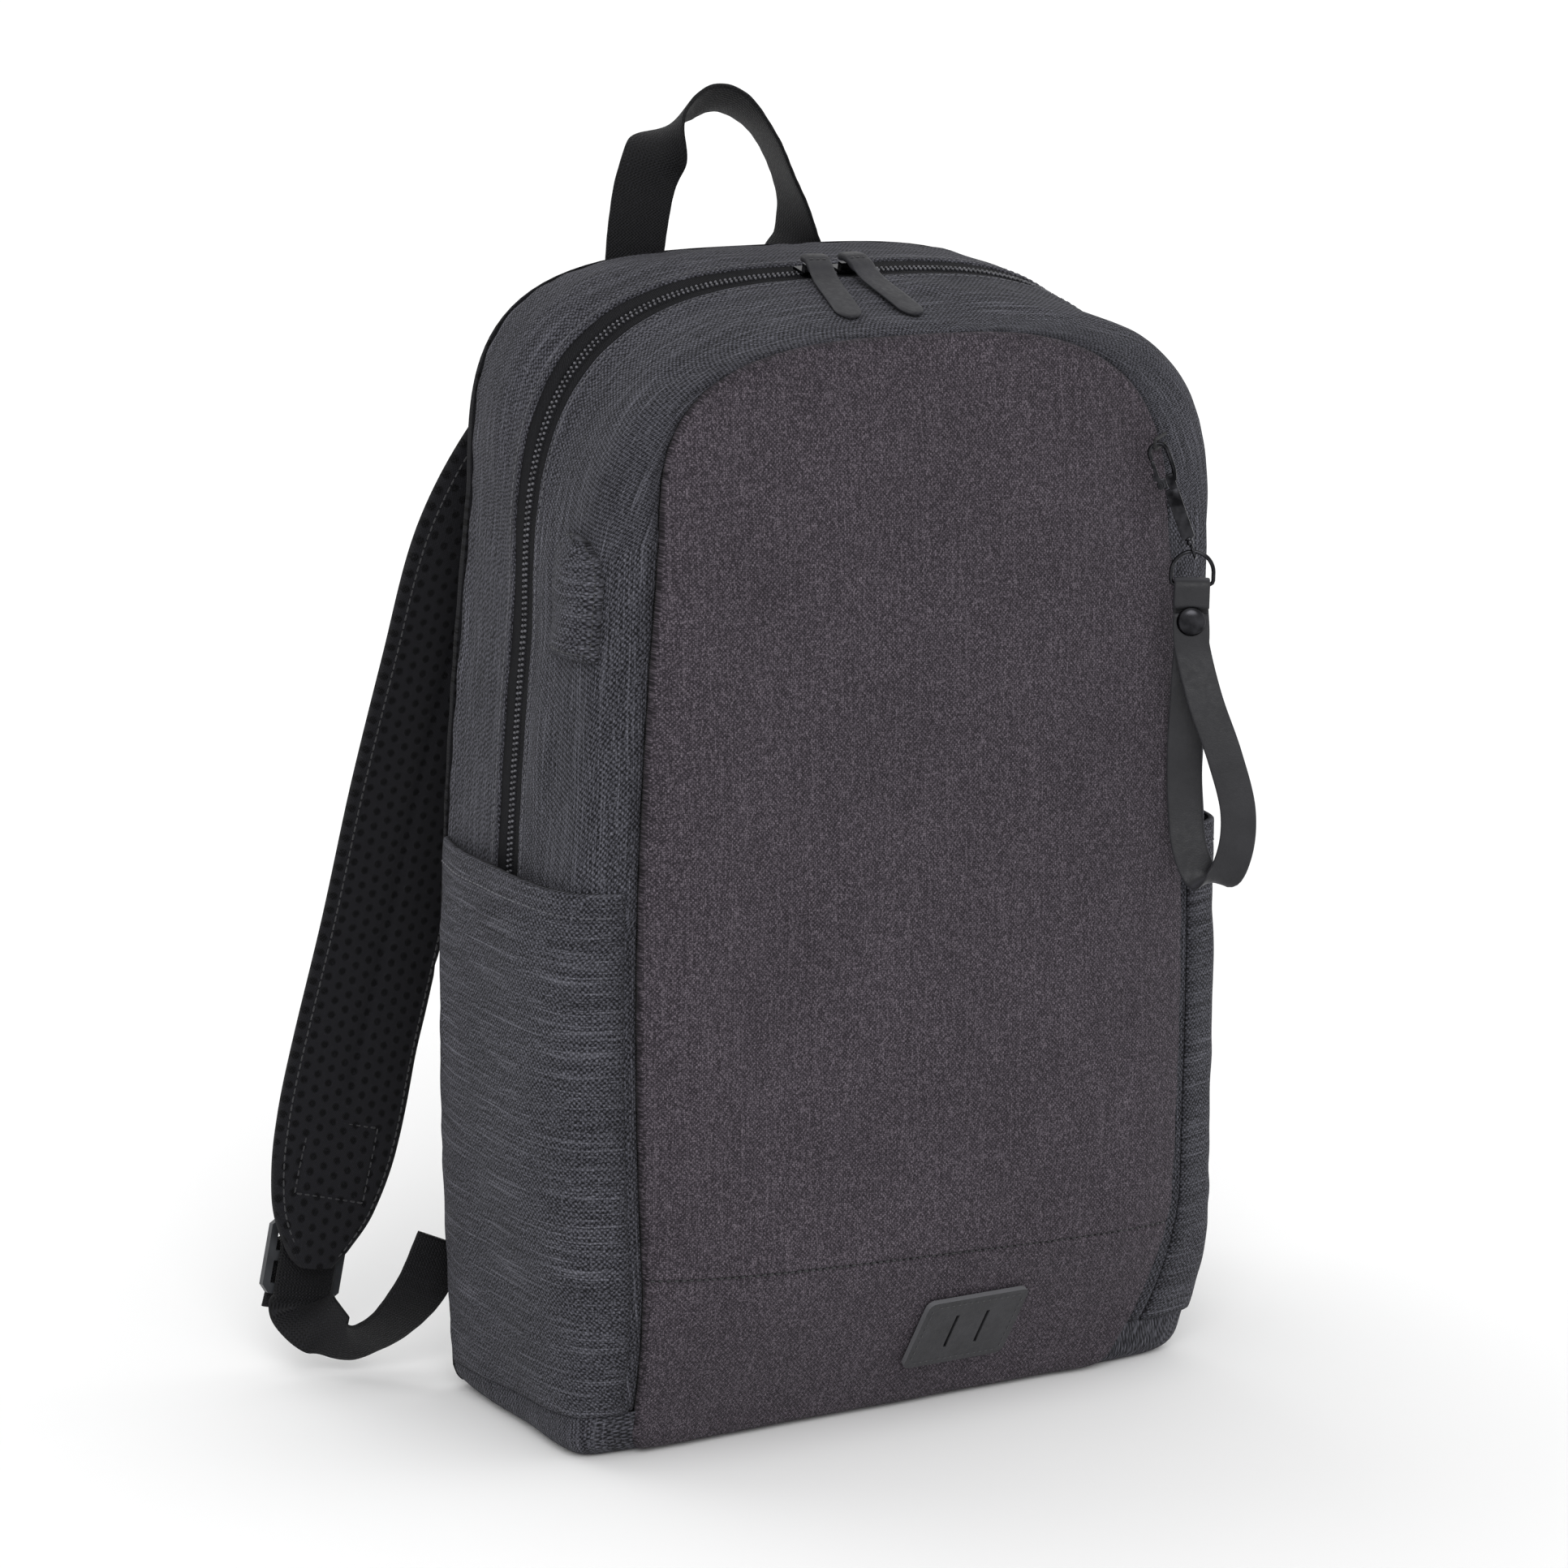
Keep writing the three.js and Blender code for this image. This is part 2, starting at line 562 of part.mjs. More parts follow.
// Hood over the cable port: sewn down at the rear and foot, raised at its front edge
const COVER_REAR = 0.69;
const COVER_FRONT = 0.93;
const COVER_PEAK = 0.66; // the rounded top's highest place, from rear to front
const COVER_EASE = 0.4; // the hood's rise at its rear and at its top, as a share of the whole
const COVER_FILLET = 0.42; // share of its height that the rounded top takes
function coverSolid() {
  const heights = [0, 0.25, 0.5, 0.66, 0.8, 0.9, 0.97];
  const grid = (outer) => heights.map((share) => {
    const over = Math.max(share - 1 + COVER_FILLET, 0) / COVER_FILLET;
    const round = Math.sqrt(1 - over ** 2);
    const middle = lerp(COVER_REAR, COVER_FRONT, COVER_PEAK);
    return range(6, (t) => {
      const depth = lerp(middle, lerp(COVER_REAR, COVER_FRONT, t), round);
      const crest = Math.sin(Math.PI * t) ** 0.6;
      const rise = COVER_EDGE + COVER_RISE * lerp(COVER_EASE, 1, t) * crest * lerp(COVER_EASE, 1, round);
      const way = wayOfHeight(depth, lerp(COVER_BOTTOM, COVER_TOP, share));
      return lifted(depth, way, GAP + (outer ? rise : 0));
    });
  });
  return shell(grid(true), grid(false));
}
add('port_cover', 'heather', coverSolid());

// Lash patch: a slanted plate with two slots, flat against the rolled-under band
function patchSolid() {
  const w = PATCH_WIDTH / 2;
  const h = PATCH_HEIGHT / 2;
  const s = PATCH_SLANT / 2;
  const corners = [[-w - s, -h], [w - s, -h], [w + s, h], [-w + s, h]]
    .map(([x, y]) => new THREE.Vector2(x, y));
  const outline = corners.flatMap((corner, i) => {
    const before = corners[(i + 3) % 4].clone().sub(corner).setLength(PATCH_CORNER).add(corner);
    const after = corners[(i + 1) % 4].clone().sub(corner).setLength(PATCH_CORNER).add(corner);
    const curve = new THREE.QuadraticBezierCurve(before, corner, after);
    return curve.getPoints(4);
  });
  const shape = new THREE.Shape(outline);
  let plate = asManifold(extruded(shape, PATCH_THICK));
  const lean = (PATCH_SLANT / PATCH_HEIGHT) * (SLOT_LENGTH / 2);
  const a = SLOT_WIDTH / 2;
  for (const x of [-SLOT_SPACING / 2, SLOT_SPACING / 2]) {
    const slot = [[x - lean - a, -1], [x - lean + a, -1], [x + lean + a, 1], [x + lean - a, 1]]
      .map(([px, py]) => new THREE.Vector2(px, (py * SLOT_LENGTH) / 2));
    const cutter = extruded(new THREE.Shape(slot), 3 * PATCH_THICK).translate(0, 0, -PATCH_THICK);
    plate = plate.subtract(asManifold(cutter));
  }
  return fromManifold(plate);
}
const patchAcross = PATCH_X / halfWidth(1, PATCH_Z);
const bandFace = (z) => frontPoint(patchAcross, upOfHeight(patchAcross, z));
const patchLow = bandFace(PATCH_Z - PATCH_HEIGHT / 2);
const patchHigh = bandFace(PATCH_Z + PATCH_HEIGHT / 2);
const patchTilt = Math.atan2(patchHigh.y - patchLow.y, patchHigh.z - patchLow.z);
const PATCH_SEAT = 1.1; // clears the swell of the band under the flat plate
const patch = add('lash_patch', 'rubber', patchSolid());
patch.rotation.x = Math.PI / 2 - patchTilt;
patch.position.set(
  PATCH_X,
  (patchLow.y + patchHigh.y) / 2 - PATCH_SEAT,
  PATCH_Z,
);

// Zip sliders with folded rubber pull tabs
function wayAcross(depth, x) {
  let way = 1.5;
  for (let i = 0; i < 30; i += 1) way += (x - skinPoint(depth, way).x) / BAG_WIDTH;
  return way;
}

function placeOnZip(mesh, x) {
  const way = wayAcross(ZIP_DEPTH, x);
  mesh.position.copy(lifted(ZIP_DEPTH, way, COIL_PROUD + GAP));
  mesh.quaternion.setFromUnitVectors(V(0, 0, 1), skinNormal(ZIP_DEPTH, way));
}

const SLIDER_PLATE = 1.2;
function sliderSolid() {
  const plate = new THREE.BoxGeometry(SLIDER_LENGTH, SLIDER_WIDTH, SLIDER_PLATE)
    .translate(0, 0, SLIDER_PLATE / 2);
  const bail = SLIDER_THICK - SLIDER_PLATE / 2;
  const bridge = new THREE.BoxGeometry(SLIDER_LENGTH * 0.62, SLIDER_WIDTH * 0.3, bail)
    .translate(0, 0, SLIDER_THICK - bail / 2);
  return join(plate, bridge);
}

// The tab folds over the slider's bail, lies down on the gusset and ends in a round tip. at is a
// share of its length, lift its middle's height over the skin, and width a share of its width.
const TAB_ROUTE = [
  { at: 0, lift: 6.1, width: 0.92 },
  { at: 0.08, lift: 6.6, width: 0.96 },
  { at: 0.24, lift: 4.4, width: 1 },
  { at: 0.42, lift: 2.3, width: 1 },
  { at: 0.62, lift: 1.7, width: 1 },
  { at: 0.84, lift: 1.6, width: 0.96 },
  { at: 0.95, lift: 1.6, width: 0.7 },
  { at: 1, lift: 1.6, width: 0.35 },
];
function tabSolid(x, turn) {
  const lean = degToRad(turn);
  const stops = TAB_ROUTE.map((row) => {
    const depth = ZIP_DEPTH + (Math.cos(lean) * TAB_LENGTH * row.at) / BAG_DEPTH;
    const way = wayAcross(depth, x + Math.sin(lean) * TAB_LENGTH * row.at);
    return {
      place: lifted(depth, way, row.lift),
      side: V(Math.cos(lean), Math.sin(lean), 0),
      width: TAB_WIDTH * row.width,
    };
  });
  return band(stops, TAB_WIDTH, TAB_THICK);
}
const pulls = [
  ['left', SLIDER_LEFT_X, TAB_TURN_LEFT],
  ['right', SLIDER_RIGHT_X, TAB_TURN_RIGHT],
];
for (const [name, x, turn] of pulls) {
  placeOnZip(add(`zip_slider_${name}`, 'metal', sliderSolid()), x);
  add(`pull_tab_${name}`, 'rubber', tabSolid(x, turn));
}

// Grab handle: one webbing strip whose legs are sewn flat on the back and whose arch turns over.
// across is a share of half its span from its middle, rise a share of HANDLE_RISE above the back
// seam, and off is its distance in front of the legs in webbing widths.
const HANDLE_ROUTE = [
  { across: -0.98, rise: -0.205, off: 0, side: [1, 0, 0] },
  { across: -0.96, rise: 0.02, off: 0, side: [1, -0.03, 0] },
  { across: -0.91, rise: 0.26, off: 0, side: [0.99, -0.08, 0.05] },
  { across: -0.84, rise: 0.46, off: 0, side: [0.93, -0.15, 0.3] },
  { across: -0.71, rise: 0.65, off: -0.03, side: [0.7, -0.3, 0.62] },
  { across: -0.47, rise: 0.84, off: -0.03, side: [0.34, -0.62, 0.7] },
  { across: -0.14, rise: 0.95, off: 0, side: [0.04, -0.8, 0.6] },
  { across: 0.21, rise: 0.93, off: 0.04, side: [-0.1, -0.93, 0.36] },
  { across: 0.6, rise: 0.76, off: 0.1, side: [-0.2, -0.97, 0.1] },
  { across: 0.94, rise: 0.5, off: 0.2, side: [-0.2, -0.97, 0] },
  { across: 1.16, rise: 0.26, off: 0.3, side: [-0.06, -0.99, 0] },
  { across: 1.22, rise: 0.08, off: 0.36, side: [0.2, -0.97, 0] },
  { across: 1.15, rise: -0.06, off: 0.3, side: [0.8, -0.6, 0] },
  { across: 1.05, rise: -0.205, off: 0, side: [1, 0, 0] },
];
const handleTop = BAG_HEIGHT - 4;

// Y of webbing that lies on the back panel around a place on it. below is how far down it lies on
// the panel, in half widths.
function webbingY(x, z, below) {
  const reach = WEBBING_WIDTH / 2;
  const around = [[-1, 0], [0, 0], [1, 0], [-1, -below], [1, -below]];
  const seat = Math.max(...around.map(([a, b]) => backFaceY(x + a * reach, z + b * reach)));
  return seat + 2 * GAP + WEBBING_THICK / 2;
}
const HANDLE_LEG_LIES = 0.75;
const HANDLE_STEPS = 30;
const handleStops = HANDLE_ROUTE.map((row) => {
  const x = HANDLE_X + (row.across * HANDLE_SPAN) / 2;
  const z = handleTop + row.rise * HANDLE_RISE;
  const legEnd = handleTop + HANDLE_ROUTE[0].rise * HANDLE_RISE;
  const seat = webbingY(x, legEnd, HANDLE_LEG_LIES);
  return { place: V(x, seat + row.off * WEBBING_WIDTH, z), side: V(...row.side) };
});
add('grab_handle', 'webbing', band(smoothStops(handleStops, HANDLE_STEPS), WEBBING_WIDTH, WEBBING_THICK));

// Shoulder straps. down is a share of STRAP_LENGTH from the sewn top, spread a share of
// STRAP_SPREAD outwards, off a share of STRAP_BELLY away from the back, wide a share of STRAP_WIDTH.
const STRAP_ROUTE = [
  { down: 0.0, spread: 0.0, off: 0.0, wide: 0.8 },
  { down: 0.06, spread: 0.1, off: 0.0, wide: 0.86 },
  { down: 0.13, spread: 0.29, off: 0.22, wide: 0.95 },
  { down: 0.24, spread: 0.455, off: 0.48, wide: 1.0 },
  { down: 0.37, spread: 0.54, off: 0.7, wide: 1.0 },
  { down: 0.51, spread: 0.63, off: 0.88, wide: 1.0 },
  { down: 0.65, spread: 0.72, off: 0.98, wide: 1.0 },
  { down: 0.78, spread: 0.83, off: 1.0, wide: 1.0 },
  { down: 0.86, spread: 0.9, off: 0.95, wide: 0.99 },
  { down: 0.93, spread: 0.97, off: 0.87, wide: 0.84 },
  { down: 0.98, spread: 1.01, off: 0.82, wide: 0.5 },
  { down: 1.0, spread: 1.02, off: 0.8, wide: 0.24 },
];
const STRAP_TOP_Z = BAG_HEIGHT * 0.95;
const strapSeat = backFaceY(STRAP_TOP_X, STRAP_TOP_Z * 0.94) + 2 * GAP + STRAP_THICK / 2;

function strapPlace(row, side) {
  return V(
    side * (STRAP_TOP_X + STRAP_SPREAD * row.spread),
    strapSeat + STRAP_BELLY * row.off,
    STRAP_TOP_Z - STRAP_LENGTH * row.down,
  );
}

function strapSolid(side) {
  const stops = STRAP_ROUTE.map((row) => ({
    place: strapPlace(row, side),
    side: V(1, 0, side * -0.2 * smoothstep(row.down, 0.1, 0.4)),
    width: STRAP_WIDTH * row.wide,
  }));
  return band(stops, STRAP_WIDTH, STRAP_THICK, 3);
}

// Ladder-lock adjuster: a plate with two slots, whose top bar steps forward to the strap's end
const SLOT_OPEN = (BUCKLE_HEIGHT - 3 * BUCKLE_BAR) / 2;
function buckleSolid() {
  const w = BUCKLE_WIDTH / 2;
  const h = BUCKLE_HEIGHT / 2;
  const shape = new THREE.Shape();
  const outline = [
    [-w, -h + BUCKLE_CHAMFER], [-w + BUCKLE_CHAMFER, -h], [w - BUCKLE_CHAMFER, -h], [w, -h + BUCKLE_CHAMFER],
    [w, h - BUCKLE_CHAMFER], [w - BUCKLE_CHAMFER, h], [-w + BUCKLE_CHAMFER, h], [-w, h - BUCKLE_CHAMFER],
  ];
  shape.setFromPoints(outline.map(([x, y]) => new THREE.Vector2(x, y)));
  let plate = asManifold(extruded(shape, BUCKLE_THICK));
  const inner = 2 * (w - BUCKLE_BAR * 0.8);
  for (const up of [-1, 1]) {
    const opening = new THREE.BoxGeometry(inner, SLOT_OPEN, 3 * BUCKLE_THICK)
      .translate(0, (up * (BUCKLE_BAR + SLOT_OPEN)) / 2, 0);
    plate = plate.subtract(asManifold(opening));
  }
  const foot = new THREE.BoxGeometry(BUCKLE_WIDTH * 0.8, BUCKLE_BAR, BUCKLE_FOOT + 0.5)
    .translate(0, h - BUCKLE_BAR / 2, BUCKLE_THICK + BUCKLE_FOOT / 2 - 0.25);
  return fromManifold(plate.add(asManifold(foot)));
}

// Webbing on both sides of the adjuster: up along it from its middle, out from its face.
const TAIL_ROUTE = [{ up: -21, out: 1.4 }, { up: -12, out: 0.3 }, { up: 1, out: 0 }];
const NEAR_ROUTE = [{ up: 1, out: 0 }, { up: -8, out: 0 }, { up: -15, out: 0.4 }];
const NEAR_END = { up: -19, out: 0.6 };

// Webbing that runs from the seam at the lower rear corner in a low loop up through the adjuster
// and hangs on as a short tail. Places are measured from the adjuster's middle (first rows) or
// from the rear corner of the base (last rows), seen on the left side.
const LOOP_REACH = 40; // how far the low loop reaches out from the rear corner
const LOOP_ROUTE = [
  { out: 1, back: 0.9, up: 0.525, side: [-0.5, -0.66, 0.56] },
  { out: 0.8, back: 0.7, up: 0.4, side: [-0.1, -0.75, 0.66] },
  { out: 0.55, back: 0.5, up: 0.525, side: [0.35, -0.55, 0.76] },
  { out: 0.275, back: 0.3, up: 0.9, side: [0.7, -0.2, 0.66] },
];
const SEAM_Z = 58; // where the webbing comes out of the back seam
function webbingStops(side, frame) {
  const { middle, run, face } = frame;
  const acrossDir = run.clone().cross(face).normalize();
  const pinch = BUCKLE_THICK / 2 + GAP + WEBBING_THICK / 2 + 0.4;
  const onBuckle = (up, off, slip = 0) => middle.clone().addScaledVector(run, up)
    .addScaledVector(face, off).addScaledVector(acrossDir, slip);
  const flat = acrossDir.clone().multiplyScalar(side);
  const low = V(side * HALF_WIDTH, HALF_DEPTH, 0);
  const corner = (x, y, z) => low.clone().add(V(side * x, y, z));
  const endX = HALF_WIDTH + 1;
  const tail = TAIL_ROUTE.map((row) => ({ place: onBuckle(row.up, pinch + row.out), side: flat }));
  const turn = [
    { place: onBuckle(BUCKLE_BAR / 2 + SLOT_OPEN / 2 - 0.6, pinch * 0.7), side: flat },
    { place: onBuckle(BUCKLE_BAR / 2 + SLOT_OPEN / 2 + 0.4, 0), side: flat },
    { place: onBuckle(BUCKLE_BAR / 2 + SLOT_OPEN / 2 - 0.6, -pinch * 0.7), side: flat },
  ];
  const front = [
    ...NEAR_ROUTE.map((row) => ({ place: onBuckle(row.up, -pinch - row.out), side: flat })),
    { place: onBuckle(NEAR_END.up, -pinch - NEAR_END.out), side: V(side * -0.92, -0.4, 0.1) },
  ];
  const loop = LOOP_ROUTE.map((row) => ({
    place: corner(LOOP_REACH * row.out, LOOP_REACH * row.back, LOOP_REACH * row.up),
    side: V(side * row.side[0], row.side[1], row.side[2]),
  }));
  const end = [
    { place: V(side * endX, webbingY(endX, SEAM_Z, 1), SEAM_Z), side: V(side * 0.86, 0, 0.5) },
  ];
  return [...tail, ...turn, ...front, ...loop, ...end];
}

const WEBBING_STOPS = 46;
for (const [name, side] of [['left', -1], ['right', 1]]) {
  add(`shoulder_strap_${name}`, 'mesh', strapSolid(side));
  const last = STRAP_ROUTE.length - 1;
  const tip = strapPlace(STRAP_ROUTE[last], side);
  const run = strapPlace(STRAP_ROUTE[last - 3], side).sub(tip).normalize();
  const face = run.clone().cross(V(side, 0, 0)).normalize();
  if (face.y < 0) face.negate();
  const seat = STRAP_THICK / 2 + GAP + BUCKLE_FOOT + BUCKLE_THICK / 2;
  const middle = tip.clone().addScaledVector(face, seat).addScaledVector(run, 2);
  const buckle = add(`adjuster_${name}`, 'plastic', buckleSolid());
  const sideways = run.clone().cross(face).normalize();
  const basis = new THREE.Matrix4().makeBasis(sideways.clone().negate(), run, face.clone().negate());
  buckle.quaternion.setFromRotationMatrix(basis);
  buckle.position.copy(middle.clone().addScaledVector(face, BUCKLE_THICK / 2));
  const stops = smoothStops(webbingStops(side, { middle, run, face }), WEBBING_STOPS);
  add(`strap_webbing_${name}`, 'webbing', band(stops, WEBBING_WIDTH, WEBBING_THICK));
}

// Clip, gate, ring and wrist strap hang in a plane that faces front and left.
const turnAngle = degToRad(FACE_TURN);
const faceRight = V(Math.cos(turnAngle), -Math.sin(turnAngle), 0);
const faceIn = V(Math.sin(turnAngle), Math.cos(turnAngle), 0);

// Round wire along a flat route of points, joined to itself or open. flat is its plane's normal.
function wire(points, radius, flat, closed = false, sides = 6) {
  const n = points.length;
  const rings = points.map((p, i) => {
    const before = closed ? points[(i + n - 1) % n] : points[Math.max(i - 1, 0)];
    const after = closed ? points[(i + 1) % n] : points[Math.min(i + 1, n - 1)];
    const other = after.clone().sub(before).cross(flat).normalize();
    return range(sides - 1, (t) => {
      const angle = (t * (sides - 1) * 2 * Math.PI) / sides;
      return p.clone().addScaledVector(flat, radius * Math.cos(angle))
        .addScaledVector(other, radius * Math.sin(angle));
    });
  });
  return loft(rings, closed);
}

// The clip is drawn flat: X across, Y towards the viewer's back, Z along it, then leant and placed.
const HOOK_HALF = HOOK_WIDTH / 2;
const HOOK_RISE = 9; // the hook's straight part above the flat body
function hookSolid() {
  const rings = [];
  const outline = (x, z, angle, r) => range(5, (t) => {
    const a = (t * 5 * 2 * Math.PI) / 6;
    const out = r * Math.cos(a);
    return V(x + out * Math.cos(angle), r * Math.sin(a), z + out * Math.sin(angle));
  });
  const r = HOOK_WIRE / 2;
  const top = CLIP_LENGTH / 2;
  rings.push(outline(HOOK_HALF - 1.2, top - 3, 0, r));
  rings.push(outline(HOOK_HALF, top + 1.5, 0, r));
  const arcs = 8;
  for (let i = 0; i <= arcs; i += 1) {
    const angle = (i / arcs) * Math.PI;
    const z = top + HOOK_RISE + HOOK_HALF * Math.sin(angle);
    rings.push(outline(HOOK_HALF * Math.cos(angle), z, angle, r));
  }
  rings.push(outline(-HOOK_HALF, top + HOOK_RISE - 1.6, Math.PI, r));
  return loft(rings);
}

function roundBar(radius, length, x, y, z, axis, sides = 8) {
  const geometry = new THREE.CylinderGeometry(radius, radius, length, sides);
  if (axis === 'x') geometry.rotateZ(Math.PI / 2);
  if (axis === 'z') geometry.rotateX(Math.PI / 2);
  return geometry.translate(x, y, z);
}

const PIVOT_Z = CLIP_LENGTH / 2 - 3;
const PIVOT_PIN = 0.6;
const NOTCH_EDGE = 0.5; // the gate's notch ends this far right of the clip's middle
const NOTCH_DROP = 3.3; // and this far below the pivot
const EYE_THICK = 1.8;
const EYE_POST = 2.2; // the swivel post between the flat body and the eye
const EYE_Z = -CLIP_LENGTH / 2 - EYE_POST - EYE_HOLE - EYE_WALL;
function clipSolid() {
  const half = CLIP_LENGTH / 2;
  const plate = new THREE.BoxGeometry(CLIP_WIDTH, CLIP_THICK, CLIP_LENGTH);
  const ear = new THREE.BoxGeometry(3.6, 0.8, 4).translate(-HOOK_HALF + 0.6, CLIP_THICK / 2 + 0.1, PIVOT_Z);
  const pin = roundBar(PIVOT_PIN, CLIP_THICK, -HOOK_HALF, 0, PIVOT_Z, 'y');
  const post = roundBar(1.5, 3, 0, 0, -half - 1, 'z');
  const disc = roundBar(EYE_HOLE + EYE_WALL, EYE_THICK, 0, 0, EYE_Z, 'x', 10);
  const hole = roundBar(EYE_HOLE, 3 * EYE_THICK, 0, 0, EYE_Z, 'x', 10);
  const eye = fromManifold(asManifold(disc).subtract(asManifold(hole)));
  const notchHeight = half + GAP - PIVOT_Z + NOTCH_DROP;
  const notch = new THREE.BoxGeometry(CLIP_WIDTH, 2 * CLIP_THICK, notchHeight)
    .translate(NOTCH_EDGE - CLIP_WIDTH / 2, -0.6 * CLIP_THICK, PIVOT_Z - NOTCH_DROP + notchHeight / 2);
  const cut = fromManifold(asManifold(plate).subtract(asManifold(notch)));
  return join(cut, ear, pin, hookSolid(), post, eye);
}

function gateSolid() {
  const reach = HOOK_RISE + CLIP_LENGTH / 2 - 1.6 - GAP - PIVOT_Z;
  const bar = new THREE.BoxGeometry(GATE_WIDTH, GATE_WIDTH, reach).translate(0, 0, reach / 2);
  const hub = roundBar(1.35, GATE_WIDTH, 0, 0, 0, 'y');
  const thumb = new THREE.BoxGeometry(1.2, GATE_WIDTH, 3).translate(-GATE_WIDTH / 2 - 0.5, 0, reach * 0.35);
  const hole = roundBar(PIVOT_PIN + GAP, 3 * GATE_WIDTH, 0, 0, 0, 'y');
  const solid = [bar, hub, thumb].map(asManifold).reduce((a, b) => a.add(b));
  return fromManifold(solid.subtract(asManifold(hole)));
}

const clipBasis = new THREE.Matrix4().makeBasis(faceRight, faceIn, V(0, 0, 1));
const clipTurn = new THREE.Quaternion().setFromRotationMatrix(clipBasis)
  .multiply(new THREE.Quaternion().setFromAxisAngle(V(0, 1, 0), degToRad(-CLIP_LEAN)));
const clipPlace = V(CLIP_X, CLIP_Y, CLIP_Z);
const clip = add('trigger_clip', 'metal', clipSolid());
clip.position.copy(clipPlace);
clip.quaternion.copy(clipTurn);
const gate = add('clip_gate', 'metal', gateSolid());
gate.position.copy(V(-HOOK_HALF, -0.15, PIVOT_Z).applyQuaternion(clipTurn).add(clipPlace));
gate.quaternion.copy(clipTurn);

// Loop of round elastic that comes out of the front seam and holds the hook
const LOOP_WIRE = 1.4;
const hookTop = V(0, 0, CLIP_LENGTH / 2 + HOOK_RISE + HOOK_HALF).applyQuaternion(clipTurn).add(clipPlace);

// Place on the front seam's right shoulder at a height.
function frontSeam(z) {
  let way = 2;
  while (crownPoint(1, (way - 1) * Math.PI).z < z) way -= 0.002;
  return crownPoint(1, (way - 1) * Math.PI);
}

function pocketLoop() {
  const reach = (HOOK_WIRE + LOOP_WIRE) / 2 + GAP;
  const root = frontSeam(hookTop.z).add(V(1.8 * LOOP_WIRE + GAP, -LOOP_WIRE - GAP, 0));
  const toSeam = root.clone().sub(hookTop).setZ(0).normalize();
  const round = range(8, (t) => {
    const angle = lerp(-0.5, 0.5, t) * Math.PI;
    return hookTop.clone().addScaledVector(toSeam, -reach * Math.cos(angle))
      .add(V(0, 0, -reach * Math.sin(angle)));
  });
  const route = [root.clone().add(V(0, 0, reach)), ...round, root.clone().add(V(0, 0, -reach))];
  return wire(route, LOOP_WIRE / 2, V(-toSeam.y, toSeam.x, 0));
}
add('pocket_loop', 'webbing', pocketLoop());

// D-ring through the clip's eye, with a straight bar at its foot
const eye = V(0, 0, EYE_Z).applyQuaternion(clipTurn).add(clipPlace);
const ringHalf = (RING_WIDTH - RING_WIRE) / 2;
const ringTop = eye.clone().addScaledVector(V(0, 0, 1), -0.2);
const ringBar = ringTop.clone().addScaledVector(V(0, 0, 1), -ringHalf - 4.5);
function ringSolid() {
  const arc = range(10, (t) => {
    const angle = Math.PI * (1 - t);
    return ringTop.clone().addScaledVector(faceRight, ringHalf * Math.cos(angle))
      .add(V(0, 0, ringHalf * (Math.sin(angle) - 1)));
  });
  const foot = [0.9, 0.4, -0.4, -0.9].map((s) => ringBar.clone().addScaledVector(faceRight, ringHalf * s));
  return wire([...arc, ...foot], RING_WIRE / 2, faceIn, true);
}
add('strap_ring', 'metal', ringSolid());

// Wrist strap: a leather-like strip folded over the ring's bar, riveted, and hanging as a loop.
// right is sideways and near towards the front, in strap widths; down is a share of its length.
const WRIST_ROUTE = [
  { right: 0.06, near: -0.06, down: 0.17 },
  { right: 0.02, near: -0.1, down: 0.34 },
  { right: -0.02, near: -0.12, down: 0.54 },
  { right: 0.04, near: -0.1, down: 0.74 },
  { right: 0.22, near: 0, down: 0.9 },
  { right: 0.62, near: 0.2, down: 0.985 },
  { right: 1.1, near: 0.5, down: 0.975 },
  { right: 1.42, near: 0.74, down: 0.88 },
  { right: 1.46, near: 0.8, down: 0.74 },
  { right: 1.04, near: 0.66, down: 0.56 },
  { right: 0.46, near: 0.4, down: 0.38 },
  { right: 0.1, near: 0.1, down: 0.23 },
  { right: 0, near: 0.065, down: 0.165 },
];
const foldRadius = RING_WIRE / 2 + GAP + WRIST_THICK / 2;
const onWrist = (right, near, down) => ringBar.clone().addScaledVector(faceRight, right)
  .addScaledVector(faceIn, -near).add(V(0, 0, -down));
const wristFold = range(6, (t) => {
  const angle = Math.PI * t;
  return { place: onWrist(0, -foldRadius * Math.cos(angle), -foldRadius * Math.sin(angle)), side: faceRight };
});
const STRAND = WRIST_THICK / 2 + GAP;
const wristStops = [
  { place: onWrist(0, foldRadius, 9), side: faceRight },
  ...[...wristFold].reverse(),
  { place: onWrist(0, -foldRadius, 9), side: faceRight },
  ...WRIST_ROUTE.map(({ right, near, down }) => {
    const strand = near < 0 ? -STRAND : STRAND;
    const place = onWrist(right * WRIST_WIDTH, near * WRIST_WIDTH + strand, down * WRIST_LENGTH);
    return { place, side: faceRight };
  }),
];
const wristEnd = onWrist(0, foldRadius, 9 + 2 * GAP);
wristStops.push({ place: wristEnd, side: faceRight });
add('wrist_strap', 'rubber', band(wristStops, WRIST_WIDTH, WRIST_THICK));

// Domed rivet head on the strap's front
const rivet = new THREE.LatheGeometry([
  new THREE.Vector2(0, 0),
  new THREE.Vector2(RIVET_RADIUS, 0),
  new THREE.Vector2(RIVET_RADIUS, 0.5),
  new THREE.Vector2(RIVET_RADIUS * 0.8, RIVET_DOME * 0.7),
  new THREE.Vector2(RIVET_RADIUS * 0.45, RIVET_DOME * 0.95),
  new THREE.Vector2(0, RIVET_DOME),
], 14);
const rivetMesh = add('strap_rivet', 'metal', rivet);
rivetMesh.quaternion.setFromUnitVectors(V(0, 1, 0), faceIn.clone().negate());
rivetMesh.position.copy(onWrist(0, foldRadius + WRIST_THICK / 2 + GAP, 14));

export default bag;
